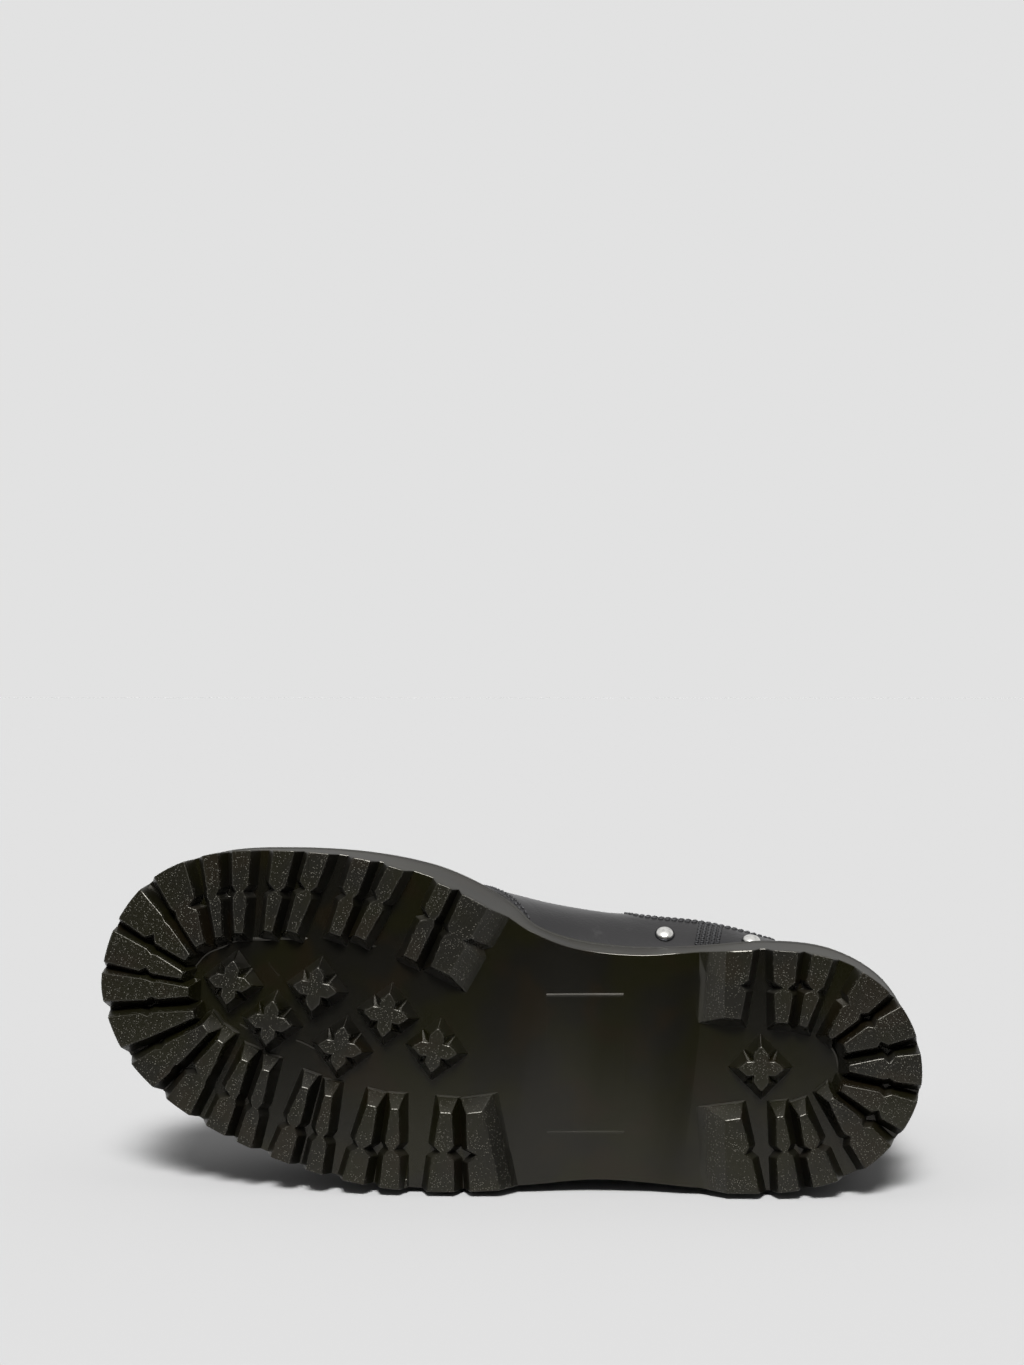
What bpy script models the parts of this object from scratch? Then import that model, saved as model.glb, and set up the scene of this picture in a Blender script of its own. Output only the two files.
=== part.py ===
"""A right-foot platform chelsea boot, lying on its outer side with the tread facing -Y.

Shoe axes, in millimetres, used until a mesh is made: u runs from the back of the heel to the
toe, v to the inner (big-toe) side of the foot, w from the tread up into the boot.
"""
import math

import bmesh
import bpy
from mathutils import Matrix, Quaternion, Vector
from mathutils.bvhtree import BVHTree

for old_object in list(bpy.data.objects):
    bpy.data.objects.remove(old_object, do_unlink=True)

MM = 0.001

# ---------------------------------------------------------------- driving dimensions
LUG_DEPTH = 8.0            # tread face to the floor of the grooves
FORE_HEIGHT = 36.0         # tread face to the top of the sole under the ball
HEEL_HEIGHT = 42.0         # the same under the heel
ARCH_RISE = 2.5            # how much the bare waist is lifted off the groove floor
TOE_SPRING = 11.0          # lift of the toe end
SPRING_START = 188.0       # where the toe begins to lift
SOLE_LENGTH = 292.8
CHAMFER = 3.4              # slope at the inner end of each lug, seen in plan
DRAFT = 1.1                # slope of a lug's long sides, seen in plan
WALL = 2.0                 # leather with its lining
GAP = 0.3                  # clearance between pieces that meet
COLLAR_FRONT = 118.0
GORE_CENTRE = 81.5         # along u
GORE_HALF_WIDTH = 26.0
GORE_BOTTOM = 60.0         # lowest point of the elastic, along w
GORE_CURVE = 12.0          # height of the rounded bottom of the elastic
GORE_SQUARENESS = 0.55     # power of its corners; 1 is an ellipse
GORE_THICKNESS = 1.3
INSOLE_THICKNESS = 3.0
STUD_DIAMETER = 6.5
STUD_RISE = 2.0
STUD_CENTRE = 79.0         # half way between a pair, along u
STUD_SPACING = 16.0        # each stud from there
STUD_HEIGHT = 51.0         # along w
ROLL = math.radians(7.0)   # about how far the toe end is up, as ball and heel touch the floor
LEAN = math.radians(3.0)   # about how far the shaft leans down, as the collar touches it too
BALL_ZONE = 150.0          # the sole in front of this u rests on its ball
HEEL_ZONE = 80.0           # the sole behind this u rests on its heel
SOLE_ZONE = 44.0           # all of the sole that can touch the floor is below this w
SHAFT_ZONE = 150.0         # the upper above this w rests on its collar
REST_TRIES = 24            # half steps towards the plane through the three lowest points

# Edge of the tread seen from below, once round from the back of the heel by the inner side
# to the toe and back. flare is how far the top edge of the sole stands outside it.
SOLE_EDGE = (
    # u,     v,   flare
    (0.0, 3.0, 3.0),
    (5.0, 21.0, 1.5),
    (17.0, 34.0, 2.3),
    (35.0, 41.3, 2.1),
    (56.0, 41.8, 1.5),
    (80.0, 38.0, 0.7),
    (103.0, 33.4, 1.9),
    (125.0, 33.0, 2.1),
    (141.0, 37.0, 1.4),
    (152.0, 41.6, 3.8),
    (165.0, 47.0, 4.5),
    (182.0, 52.0, 4.1),
    (205.0, 55.6, 2.0),
    (232.0, 55.0, 0.8),
    (257.8, 50.6, 0.6),
    (277.3, 40.3, 0.6),
    (289.0, 23.6, 0.6),
    (292.8, 4.0, 0.6),
    (289.2, -10.4, 0.6),
    (278.4, -26.3, 0.6),
    (260.0, -39.2, 0.6),
    (236.0, -48.8, 0.4),
    (210.0, -55.2, 0.2),
    (183.0, -57.9, 0.0),
    (158.0, -56.2, 0.0),
    (132.0, -51.6, 0.0),
    (108.0, -46.8, 0.0),
    (84.0, -45.3, 0.0),
    (60.0, -43.9, 0.0),
    (38.0, -40.0, 0.8),
    (17.3, -30.5, 2.0),
    (4.5, -14.7, 3.0),
)
EDGE_STEPS = 3             # curve pieces between two rows

# Lugs, a row each: the middle of the inner end, of the nicked neck and of the outer end, then
# the widths there. flank is the plan width of a sloping side, + on the left looking outward.
LUGS = (
    # in u, in v, neck u, neck v, out u, out v, in w, neck w, out w, flank
    (260.0, 1.0, 273.5, 0.0, 289.0, -1.5, 3.2, 5.2, 10.9, 0.0),
    (263.0, 6.5, 276.0, 10.0, 289.0, 12.5, 2.4, 5.2, 12.6, 0.0),
    (262.0, 13.0, 273.5, 22.0, 283.5, 27.5, 2.8, 6.0, 14.0, 0.0),
    (258.0, 18.0, 266.0, 29.5, 271.5, 41.0, 3.3, 5.0, 13.5, 0.0),
    (251.5, 21.7, 256.0, 36.0, 258.0, 48.3, 2.2, 3.4, 6.3, 0.0),
    (244.5, 24.0, 246.0, 38.5, 247.0, 50.5, 3.0, 2.4, 7.1, 0.0),
    (234.0, 26.0, 232.5, 40.5, 232.0, 54.0, 2.8, 1.4, 8.2, 0.0),
    (225.5, 27.0, 221.5, 42.0, 219.5, 55.0, 3.8, 1.6, 7.8, 0.0),
    (210.0, 28.0, 206.5, 41.5, 204.0, 55.0, 4.2, 2.4, 6.6, 0.0),
    (201.0, 28.0, 195.5, 41.5, 191.5, 53.5, 4.2, 2.0, 6.2, 0.0),
    (182.5, 23.0, 176.5, 37.5, 174.0, 48.5, 4.8, 1.6, 5.8, 0.0),
    (171.5, 20.0, 167.5, 32.5, 162.5, 45.0, 7.0, 5.2, 11.0, 8.0),
    (257.0, -6.5, 272.5, -13.0, 283.5, -16.5, 2.4, 7.4, 12.6, 0.0),
    (252.0, -11.0, 264.5, -23.0, 272.0, -30.0, 3.6, 7.4, 12.4, 0.0),
    (246.0, -14.8, 251.0, -28.3, 258.0, -39.0, 2.4, 3.4, 11.4, 0.0),
    (236.5, -20.2, 239.0, -33.7, 243.5, -45.0, 2.6, 1.8, 8.6, 0.0),
    (228.5, -22.6, 230.5, -36.2, 233.0, -50.0, 2.8, 1.8, 6.2, 0.0),
    (213.8, -26.7, 216.6, -41.0, 219.5, -53.5, 2.6, 1.8, 8.0, 0.0),
    (205.2, -28.5, 206.0, -43.0, 207.0, -55.0, 2.6, 1.8, 6.6, 0.0),
    (189.4, -30.0, 191.5, -45.0, 192.8, -57.0, 3.4, 1.8, 8.6, 0.0),
    (181.4, -30.0, 180.8, -44.3, 179.8, -57.5, 2.6, 1.8, 7.8, 0.0),
    (163.4, -29.0, 162.4, -43.0, 161.8, -56.0, 4.0, 2.2, 10.4, 0.0),
    (153.5, -27.7, 148.2, -41.6, 146.5, -54.0, 5.6, 5.2, 11.2, -6.0),
    (67.6, 16.4, 69.0, 28.0, 68.0, 40.0, 5.6, 5.2, 9.8, -9.0),
    (50.5, 17.0, 50.7, 29.0, 52.0, 42.0, 4.2, 1.6, 9.6, 0.0),
    (43.0, 16.8, 40.2, 29.5, 39.0, 41.5, 2.8, 1.6, 8.2, 0.0),
    (33.2, 14.2, 26.0, 25.0, 20.0, 34.5, 1.8, 5.0, 13.6, 0.0),
    (27.5, 11.0, 17.0, 17.2, 8.0, 22.6, 3.4, 5.2, 13.2, 0.0),
    (25.4, 4.4, 11.5, 5.2, 2.0, 7.0, 2.4, 5.0, 12.0, 0.0),
    (27.0, -2.7, 13.0, -6.3, 3.0, -9.4, 2.4, 5.0, 12.6, 0.0),
    (30.5, -7.2, 20.4, -17.2, 13.0, -24.0, 2.0, 5.2, 13.4, 0.0),
    (39.5, -13.8, 34.3, -25.0, 29.0, -36.2, 2.4, 1.6, 10.0, 0.0),
    (47.2, -15.4, 44.2, -27.2, 41.3, -40.5, 2.6, 1.6, 8.2, 0.0),
    (63.4, -18.4, 61.1, -30.8, 57.0, -43.0, 5.6, 6.8, 12.0, 9.0),
)
NECK_SPREAD = 0.08         # the nick reaches this share of the lug's length to each side
LUG_OVERRUN = 6.0          # each lug is cut flush by the sole's own wall
SHORTEST_EDGE = 0.01

STARS = (
    # u,     v,   turn in degrees
    (245.3, 6.3, 2.0),
    (214.7, 8.0, 2.0),
    (188.5, 2.2, 2.0),
    (229.3, -5.8, 2.0),
    (203.2, -11.5, 2.0),
    (169.9, -7.9, 2.0),
    (55.7, 0.3, -7.0),
)
STAR_ARM = 2.35            # half the width of the arms, which cross at right angles
STAR_SHOULDER = 5.1        # how far from the middle an arm begins to draw to its point
STAR_TIP = 7.9
STAR_FOOT = 11.5           # half the diagonal of the square that it stands on
STAR_SPREAD = 0.1          # share of the square's side from its middle to a shoulder's foot

# Sections of the last, from the toe to the collar. Each runs from a back or bottom point to a
# front or top point on the middle plane; inner and outer are its half widths from v = 0,
# ridge the v of its end points, belly where along it the widest place is, and low and high
# how square its two halves are (2 is an ellipse).
LAST = (
    # bottom u, w, top u, w, inner, outer, ridge, belly, low in, low out, high
    (284.3, 45.0, 284.3, 47.0, 5.0, -3.0, 4.0, 0.50, 2.0, 2.0, 2.0),
    (282.6, 35.0, 282.8, 59.0, 16.0, 6.5, 4.5, 0.50, 2.2, 2.2, 2.0),
    (279.0, 28.0, 279.0, 68.0, 25.0, 13.5, 5.0, 0.50, 2.4, 2.4, 2.0),
    (272.5, 24.0, 272.0, 75.5, 34.0, 21.5, 6.0, 0.48, 2.8, 2.8, 2.1),
    (263.0, 22.0, 262.0, 80.5, 41.0, 29.5, 6.5, 0.46, 3.2, 3.2, 2.2),
    (250.0, 20.0, 249.0, 84.5, 46.0, 37.5, 6.5, 0.44, 3.6, 3.6, 2.3),
    (232.0, 20.0, 231.0, 89.0, 49.5, 44.5, 6.0, 0.42, 4.0, 4.0, 2.3),
    (210.0, 20.0, 208.0, 95.5, 51.0, 49.8, 5.0, 0.40, 4.0, 4.0, 2.2),
    (186.0, 22.0, 184.0, 103.5, 50.5, 51.5, 4.0, 0.38, 3.6, 3.6, 2.1),
    (160.0, 27.0, 162.0, 113.5, 48.9, 50.0, 3.0, 0.35, 2.9, 3.2, 2.0),
    (132.0, 30.0, 144.0, 125.0, 46.0, 47.0, 2.0, 0.31, 2.3, 3.0, 2.0),
    (100.0, 33.0, 131.5, 136.5, 45.2, 45.0, 1.5, 0.27, 1.8, 3.0, 2.1),
    (66.0, 31.0, 124.0, 148.0, 46.3, 43.0, 1.0, 0.27, 1.8, 3.0, 2.2),
    (34.0, 26.0, 120.5, 158.0, 43.3, 41.0, 0.5, 0.32, 2.4, 3.0, 2.3),
    (10.0, 34.0, 119.0, 166.0, 40.0, 40.0, 0.0, 0.38, 2.8, 2.8, 2.3),
    (1.5, 57.0, 118.3, 173.0, 38.5, 38.5, 0.0, 0.42, 2.4, 2.4, 2.3),
    (1.5, 84.0, COLLAR_FRONT, 179.0, 37.5, 37.5, 0.0, 0.45, 2.3, 2.3, 2.3),
    (5.0, 112.0, COLLAR_FRONT, 184.0, 36.5, 36.8, 0.0, 0.48, 2.2, 2.2, 2.2),
    (7.5, 140.0, COLLAR_FRONT, 188.0, 35.5, 36.2, 0.0, 0.50, 2.2, 2.2, 2.2),
    (8.0, 166.0, COLLAR_FRONT, 191.0, 35.0, 36.0, 0.0, 0.50, 2.2, 2.2, 2.2),
    (7.5, 190.0, COLLAR_FRONT, 193.5, 35.0, 36.0, 0.0, 0.50, 2.2, 2.2, 2.2),
)
LAST_STEPS = 2             # loft pieces between two sections
RING = 36                  # points round a section
COLLAR_OVERRUN = 12.0      # the inner form runs on above the collar to open it


# Where along u the sole's long faces are divided, so that they can bend.
BENDS = (78.5, 82.5, 86.5, 90.5, 110.5, 121.5, 131.0, 143.5, 154.5, 170.5, SPRING_START,
         200.5, 212.5, 224.5, 236.5, 248.5, 261.0, 272.5, 283.5)


# ---------------------------------------------------------------- shape functions
def curve_point(rows, place, closed):
    """Catmull-Rom value of every column of the rows at a place counted in rows."""
    count = len(rows)
    first = math.floor(place)
    if not closed:
        first = min(first, count - 2)
    t = place - first
    picks = []
    for offset in (-1, 0, 1, 2):
        index = first + offset
        picks.append(rows[index % count] if closed else rows[min(max(index, 0), count - 1)])
    a, b, c, d = picks
    return [
        0.5 * (2 * q + (r - p) * t + (2 * p - 5 * q + 4 * r - s) * t**2 + (3 * q - p - 3 * r + s) * t**3)
        for p, q, r, s in zip(a, b, c, d)
    ]


def blend(value, start, end):
    """0 before start, 1 after end, smooth between; start may be the larger one."""
    t = min(max((value - start) / (end - start), 0.0), 1.0)
    return t * t * (3 - 2 * t)


def spring(u):
    """Lift of the toe end."""
    return TOE_SPRING * (max(u - SPRING_START, 0.0) / (SOLE_LENGTH - SPRING_START)) ** 2


def sole_top(u):
    """Height of the sole's top above the tread, before the toe is lifted."""
    return FORE_HEIGHT + (HEEL_HEIGHT - FORE_HEIGHT) * blend(u, 175.0, 60.0)


def arch(u):
    """Lift of the bare waist: a short ramp in front of the heel, a long one behind the ball."""
    return ARCH_RISE * blend(u, 78.0, 89.0) * blend(u, 142.0, 112.0)


def bend_sole(point):
    """Takes a point of the flat-topped block to its place in the finished sole."""
    u, v, w = point
    share = max(w - LUG_DEPTH, 0.0) / (FORE_HEIGHT - LUG_DEPTH)
    height = w if w <= LUG_DEPTH else LUG_DEPTH + share * (sole_top(u) - LUG_DEPTH)
    return Vector((u, v, height + arch(u) * (1 - min(share, 1.0)) * blend(w, 0.0, LUG_DEPTH) + spring(u)))


def last_point(row, angle):
    """A point of a section; angle 0 is its top or front point, and inner side comes next."""
    bottom_u, bottom_w, top_u, top_w, inner, outer, ridge, belly, low_inner, low_outer, high = row
    across, along = math.sin(angle), math.cos(angle)
    low = low_inner if across >= 0 else low_outer
    power = high if along >= 0 else low
    reach = abs(along) ** (2 / power) * (1 - belly if along >= 0 else -belly)
    side = abs(across) ** (2 / power) * (inner - ridge if across >= 0 else -(outer + ridge))
    share = belly + reach
    u = bottom_u + (top_u - bottom_u) * share
    return Vector((u, ridge + side, bottom_w + (top_w - bottom_w) * share + spring(u)))


# ---------------------------------------------------------------- mesh helpers
def new_object(name, mesh_data):
    mesh = bpy.data.meshes.new(name)
    bmesh.ops.recalc_face_normals(mesh_data, faces=mesh_data.faces)
    mesh_data.to_mesh(mesh)
    mesh_data.free()
    thing = bpy.data.objects.new(name, mesh)
    bpy.context.collection.objects.link(thing)
    return thing


def loft(rings):
    """Closed solid through rings of points with flat ends."""
    solid = bmesh.new()
    loops = [[solid.verts.new(point * MM) for point in ring] for ring in rings]
    for lower, upper in zip(loops, loops[1:]):
        for index, vert in enumerate(lower):
            beside = (index + 1) % len(lower)
            solid.faces.new((vert, lower[beside], upper[beside], upper[index]))
    ends = [solid.faces.new(loops[0]), solid.faces.new(loops[-1])]
    bmesh.ops.recalc_face_normals(solid, faces=solid.faces)
    bmesh.ops.triangulate(solid, faces=ends)
    return solid


def apply_boolean(target, operation, tools, self_crossing=False):
    """Cuts or joins the tools into the target, then removes them."""
    for tool in tools:
        modifier = target.modifiers.new(operation, "BOOLEAN")
        modifier.operation = operation
        modifier.solver = "EXACT"
        modifier.use_self = self_crossing
        modifier.object = tool
    graph = bpy.context.evaluated_depsgraph_get()
    result = bpy.data.meshes.new_from_object(target.evaluated_get(graph))
    target.modifiers.clear()
    target.data = result
    for tool in tools:
        bpy.data.objects.remove(tool, do_unlink=True)
    return target


def block(name, low, high):
    """A box between two corners."""
    solid = bmesh.new()
    bmesh.ops.create_cube(solid, size=1.0)
    size = Vector(high) - Vector(low)
    middle = (Vector(high) + Vector(low)) / 2
    for vert in solid.verts:
        vert.co = Vector(a * b + c for a, b, c in zip(vert.co, size, middle)) * MM
    return new_object(name, solid)


# ---------------------------------------------------------------- the sole
def sole_ring(height):
    """The sole's edge at a height of the unbent block."""
    ring = []
    count = len(SOLE_EDGE) * EDGE_STEPS
    for index in range(count):
        u, v, flare = curve_point(SOLE_EDGE, index / EDGE_STEPS, closed=True)
        ahead = curve_point(SOLE_EDGE, index / EDGE_STEPS + 0.05, closed=True)
        outward = Vector((v - ahead[1], ahead[0] - u, 0)).normalized()
        ring.append(Vector((u, v, height)) + outward * flare * height / FORE_HEIGHT)
    return ring


def lug_solid(row):
    """One lug, widening from its worn face to the groove floor and a little past both."""
    inner, neck, outer = (Vector((row[i], row[i + 1], 0)) for i in (0, 2, 4))
    inner_width, neck_width, outer_width, flank = row[6:]
    length = (outer - inner).length
    outward = (outer - inner) / length
    left = Vector((-outward.y, outward.x, 0))
    neck_share = (neck - inner).length / length

    def side(sign):
        near = inner + left * sign * inner_width / 2
        far = outer + left * sign * outer_width / 2
        shoulders = [near.lerp(far, neck_share + step) for step in (-NECK_SPREAD, NECK_SPREAD)]
        waist = neck + left * sign * neck_width / 2
        return [near, shoulders[0], waist, shoulders[1], far + outward * LUG_OVERRUN]

    slope_left = flank if flank > 0 else DRAFT
    slope_right = -flank if flank < 0 else DRAFT
    face = side(1) + side(-1)[::-1]
    shift = [left * slope_left] * 5 + [-left * slope_right] * 5
    shift[0] = shift[0] - outward * CHAMFER
    shift[-1] = shift[-1] - outward * CHAMFER

    def ring(height):
        share = height / LUG_DEPTH
        return [point + move * share + Vector((0, 0, height)) for point, move in zip(face, shift)]

    return loft([ring(-1.5), ring(LUG_DEPTH + 1)])


def star_solid(row):
    """A cross with pointed arms that widens to a square foot."""
    u, v, turn = row
    face = ((STAR_TIP, 0), (STAR_SHOULDER, STAR_ARM), (STAR_ARM, STAR_ARM), (STAR_ARM, STAR_SHOULDER))
    corner = Vector((STAR_FOOT, 0, 0))
    beside = Vector((0, STAR_FOOT, 0))
    foot = [corner.lerp(beside, share) for share in (0, 0.5 - STAR_SPREAD, 0.5, 0.5 + STAR_SPREAD)]

    def ring(height):
        share = height / LUG_DEPTH
        points = []
        for quarter in range(4):
            place = Matrix.Rotation(math.radians(turn + 90 * quarter), 3, "Z")
            for top, bottom in zip(face, foot):
                spot = Vector((*top, 0)).lerp(bottom, share)
                points.append(Vector((u, v, height)) + place @ spot)
        return points

    return loft([ring(-1.5), ring(LUG_DEPTH + 1)])


def make_sole():
    pocket = block("grooves", (-20, -80, -1), (SOLE_LENGTH + 20, 80, LUG_DEPTH))
    lugs = [new_object("lug", lug_solid(row)) for row in LUGS]
    lugs += [new_object("star", star_solid(row)) for row in STARS]
    bpy.ops.object.select_all(action="DESELECT")
    for lug in lugs:
        lug.select_set(True)
    bpy.context.view_layer.objects.active = lugs[0]
    bpy.ops.object.join()
    pocket = apply_boolean(pocket, "DIFFERENCE", lugs[:1], self_crossing=True)
    sole = new_object("sole", loft([sole_ring(0), sole_ring(FORE_HEIGHT)]))
    sole = apply_boolean(sole, "DIFFERENCE", [pocket])
    flat = bmesh.new()
    flat.from_mesh(sole.data)
    bmesh.ops.dissolve_degenerate(flat, dist=SHORTEST_EDGE * MM, edges=flat.edges)
    for u in BENDS:
        everything = flat.verts[:] + flat.edges[:] + flat.faces[:]
        bmesh.ops.bisect_plane(flat, geom=everything, plane_co=(u * MM, 0, 0), plane_no=(1, 0, 0))
    bmesh.ops.triangulate(flat, faces=flat.faces)
    for vert in flat.verts:
        vert.co = bend_sole(vert.co / MM) * MM
    flat.to_mesh(sole.data)
    flat.free()
    return sole


# ---------------------------------------------------------------- the upper and what it holds
def last_form(name, inset, above=0.0):
    """The last as a closed solid, drawn in by inset, with its top end moved up by above."""
    rings = []
    for index in range((len(LAST) - 1) * LAST_STEPS + 1):
        row = curve_point(LAST, index / LAST_STEPS, closed=False)
        rings.append([last_point(row, 2 * math.pi * step / RING) for step in range(RING)])
    if above:
        rings.append([point + Vector((0, 0, above)) for point in rings[-1]])
    solid = loft(rings)
    solid.normal_update()
    if inset:
        lid = max(vert.co.z for vert in solid.verts)
        for vert, normal in [(vert, vert.normal.copy()) for vert in solid.verts]:
            if above or vert.co.z < lid - 3 * MM:
                vert.co -= normal * inset * MM
            else:
                vert.co -= Vector((normal.x, normal.y, 0)).normalized() * inset * MM
    return new_object(name, solid)


def under_form(name, low, high):
    """What lies between two heights over the sole's top, and well past its edge."""
    rings = []
    for step in range(24):
        u = -20 + step * 14
        top = sole_top(u) + spring(u)
        corners = ((-90, low), (90, low), (90, high), (-90, high))
        rings.append([Vector((u, v, top + height)) for v, height in corners])
    return new_object(name, loft(rings))


def gore_form(name, side, clearance):
    """A straight prism through one side of the shaft in the shape of the elastic."""
    half = GORE_HALF_WIDTH - clearance
    bottom = GORE_BOTTOM + clearance
    spring_line = GORE_BOTTOM + GORE_CURVE
    outline = [(GORE_CENTRE + half + 2, 210.0)]
    for step in range(17):
        angle = math.pi * step / 16
        across = math.copysign(abs(math.cos(angle)) ** GORE_SQUARENESS, math.cos(angle))
        outline.append((GORE_CENTRE + half * across,
                        spring_line - (spring_line - bottom) * abs(math.sin(angle)) ** GORE_SQUARENESS))
    outline.append((GORE_CENTRE - half - 2, 210.0))
    return new_object(name, loft([[Vector((u, side * v, w)) for u, w in outline] for v in (4, 90)]))


def make_upper():
    upper = last_form("upper", 0)
    hollow = last_form("hollow", WALL, COLLAR_OVERRUN)
    underside = under_form("underside", -90, GAP)
    openings = [gore_form("opening", side, 0) for side in (1, -1)]
    return apply_boolean(upper, "DIFFERENCE", [hollow, underside] + openings)


def make_gore(name, side):
    gore = last_form(name, 0.4)
    hollow = last_form("hollow", 0.4 + GORE_THICKNESS, COLLAR_OVERRUN)
    gore = apply_boolean(gore, "DIFFERENCE", [hollow])
    return apply_boolean(gore, "INTERSECT", [gore_form("opening", side, GAP)])


def make_insole():
    insole = last_form("insole", WALL + GAP)
    return apply_boolean(insole, "INTERSECT", [under_form("layer", GAP, GAP + INSOLE_THICKNESS)])


def make_stud(name, skin, u, side):
    """A domed stud that sits on the leather."""
    start = Vector((u, side * 90, STUD_HEIGHT)) * MM
    spot, normal, _, _ = skin.ray_cast(start, Vector((0, -side, 0)))
    dome = bmesh.new()
    bmesh.ops.create_uvsphere(dome, u_segments=12, v_segments=6, radius=STUD_DIAMETER / 2 * MM)
    below = [vert for vert in dome.verts if vert.co.z < -0.01 * MM]
    bmesh.ops.delete(dome, geom=below, context="VERTS")
    rim = [edge for edge in dome.edges if edge.is_boundary]
    bmesh.ops.contextual_create(dome, geom=rim)
    flatten = Matrix.Diagonal((1, 1, 2 * STUD_RISE / STUD_DIAMETER, 1))
    stand = Matrix.Translation(spot + normal * GAP * MM) @ normal.to_track_quat("Z", "Y").to_matrix().to_4x4()
    bmesh.ops.transform(dome, matrix=stand @ flatten, verts=dome.verts)
    return new_object(name, dome)


# ---------------------------------------------------------------- materials and placing
def paint(thing, name, colour, roughness, metallic):
    material = bpy.data.materials.new(name)
    material.use_nodes = True
    surface = material.node_tree.nodes["Principled BSDF"]
    surface.inputs["Base Color"].default_value = (*colour, 1)
    surface.inputs["Roughness"].default_value = roughness
    surface.inputs["Metallic"].default_value = metallic
    thing.data.materials.clear()
    thing.data.materials.append(material)


def resting_turn(turn, points):
    """Tips the boot until the ball, the heel and the collar touch one level floor."""
    zones = (
        [point for point in points if point.x > BALL_ZONE * MM and point.z < SOLE_ZONE * MM],
        [point for point in points if point.x < HEEL_ZONE * MM and point.z < SOLE_ZONE * MM],
        [point for point in points if point.z > SHAFT_ZONE * MM],
    )
    for _ in range(REST_TRIES):
        ball, heel, collar = (min((turn @ point for point in zone), key=lambda p: p.z) for zone in zones)
        upright = (ball - heel).cross(collar - heel)
        if upright.z < 0:
            upright.negate()
        half_way = Quaternion().slerp(upright.rotation_difference(Vector((0, 0, 1))), 0.5)
        turn = half_way.to_matrix().to_4x4() @ turn
    return turn


def lay_down(things):
    """Turns the boot onto its outer side and sets it on the floor, centred on the origin."""
    axes = Matrix(((-1, 0, 0), (0, 0, 1), (0, 1, 0))).to_4x4()
    turn = Matrix.Rotation(-LEAN, 4, "X") @ Matrix.Rotation(ROLL, 4, "Y") @ axes
    points = [vert.co.copy() for thing in things for vert in thing.data.vertices]
    turn = resting_turn(turn, points)
    corners = [turn @ point for point in points]
    low = Vector(min(corner[axis] for corner in corners) for axis in range(3))
    high = Vector(max(corner[axis] for corner in corners) for axis in range(3))
    rest = bpy.data.objects.new("boot_axes", None)
    bpy.context.collection.objects.link(rest)
    rest.matrix_world = Matrix.Translation((-(low.x + high.x) / 2, -(low.y + high.y) / 2, -low.z)) @ turn
    for thing in things:
        thing.parent = rest


RUBBER = (0.016, 0.016, 0.013)
LEATHER = (0.022, 0.021, 0.023)
ELASTIC = (0.010, 0.010, 0.011)
LINING = (0.030, 0.029, 0.028)
STEEL = (0.62, 0.62, 0.63)

sole = make_sole()
paint(sole, "sole_rubber", RUBBER, 0.45, 0)
upper = make_upper()
paint(upper, "smooth_leather", LEATHER, 0.42, 0)
insole = make_insole()
paint(insole, "insole_board", LINING, 0.8, 0)
pieces = [sole, upper, insole]
for gore_side, side_name in ((1, "inner"), (-1, "outer")):
    gore = make_gore("gore_" + side_name, gore_side)
    paint(gore, "gore_elastic", ELASTIC, 0.85, 0)
    pieces.append(gore)

skin_form = last_form("skin", 0)
skin_mesh = bmesh.new()
skin_mesh.from_mesh(skin_form.data)
leather_skin = BVHTree.FromBMesh(skin_mesh)
skin_mesh.free()
bpy.data.objects.remove(skin_form, do_unlink=True)
for stud_side, side_name in ((1, "inner"), (-1, "outer")):
    for offset, end_name in ((STUD_SPACING, "front"), (-STUD_SPACING, "rear")):
        stud = make_stud("stud_" + side_name + "_" + end_name, leather_skin, STUD_CENTRE + offset, stud_side)
        paint(stud, "stud_steel", STEEL, 0.3, 1)
        pieces.append(stud)

lay_down(pieces)
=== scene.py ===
"""A right-foot platform chelsea boot, lying on its outer side with the tread towards the viewer."""
import math

import bmesh
import bpy
from mathutils import Matrix, Vector
from mathutils.bvhtree import BVHTree


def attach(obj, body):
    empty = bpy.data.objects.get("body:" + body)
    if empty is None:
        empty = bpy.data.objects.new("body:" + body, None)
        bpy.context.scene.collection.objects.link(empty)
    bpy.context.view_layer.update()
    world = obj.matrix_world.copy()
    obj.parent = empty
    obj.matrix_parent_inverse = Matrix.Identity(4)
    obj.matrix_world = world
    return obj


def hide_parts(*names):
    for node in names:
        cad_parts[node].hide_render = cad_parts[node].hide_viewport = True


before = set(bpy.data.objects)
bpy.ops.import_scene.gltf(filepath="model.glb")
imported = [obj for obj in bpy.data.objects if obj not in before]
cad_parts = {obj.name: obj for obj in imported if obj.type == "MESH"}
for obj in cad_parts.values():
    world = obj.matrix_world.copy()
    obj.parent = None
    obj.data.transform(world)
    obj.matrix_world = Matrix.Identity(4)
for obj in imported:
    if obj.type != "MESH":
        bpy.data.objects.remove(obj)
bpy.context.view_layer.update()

MM = 0.001
BODY = "root"

# The shoe's own axes, in millimetres, serve until a mesh is made: u runs from the back of the
# heel to the toe, v to the inner side of the foot, w from the tread up into the boot. LIE takes
# them, in metres, to the frame's axes: the boot lies on its outer side with its toe a little up.
LIE = Matrix((
    (-0.992797, 0.119812, 0.000106, 0.143799),
    (0.006123, 0.049848, 0.998738, -0.096431),
    (0.119656, 0.991544, -0.050222, 0.038652),
    (0, 0, 0, 1),
))

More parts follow.
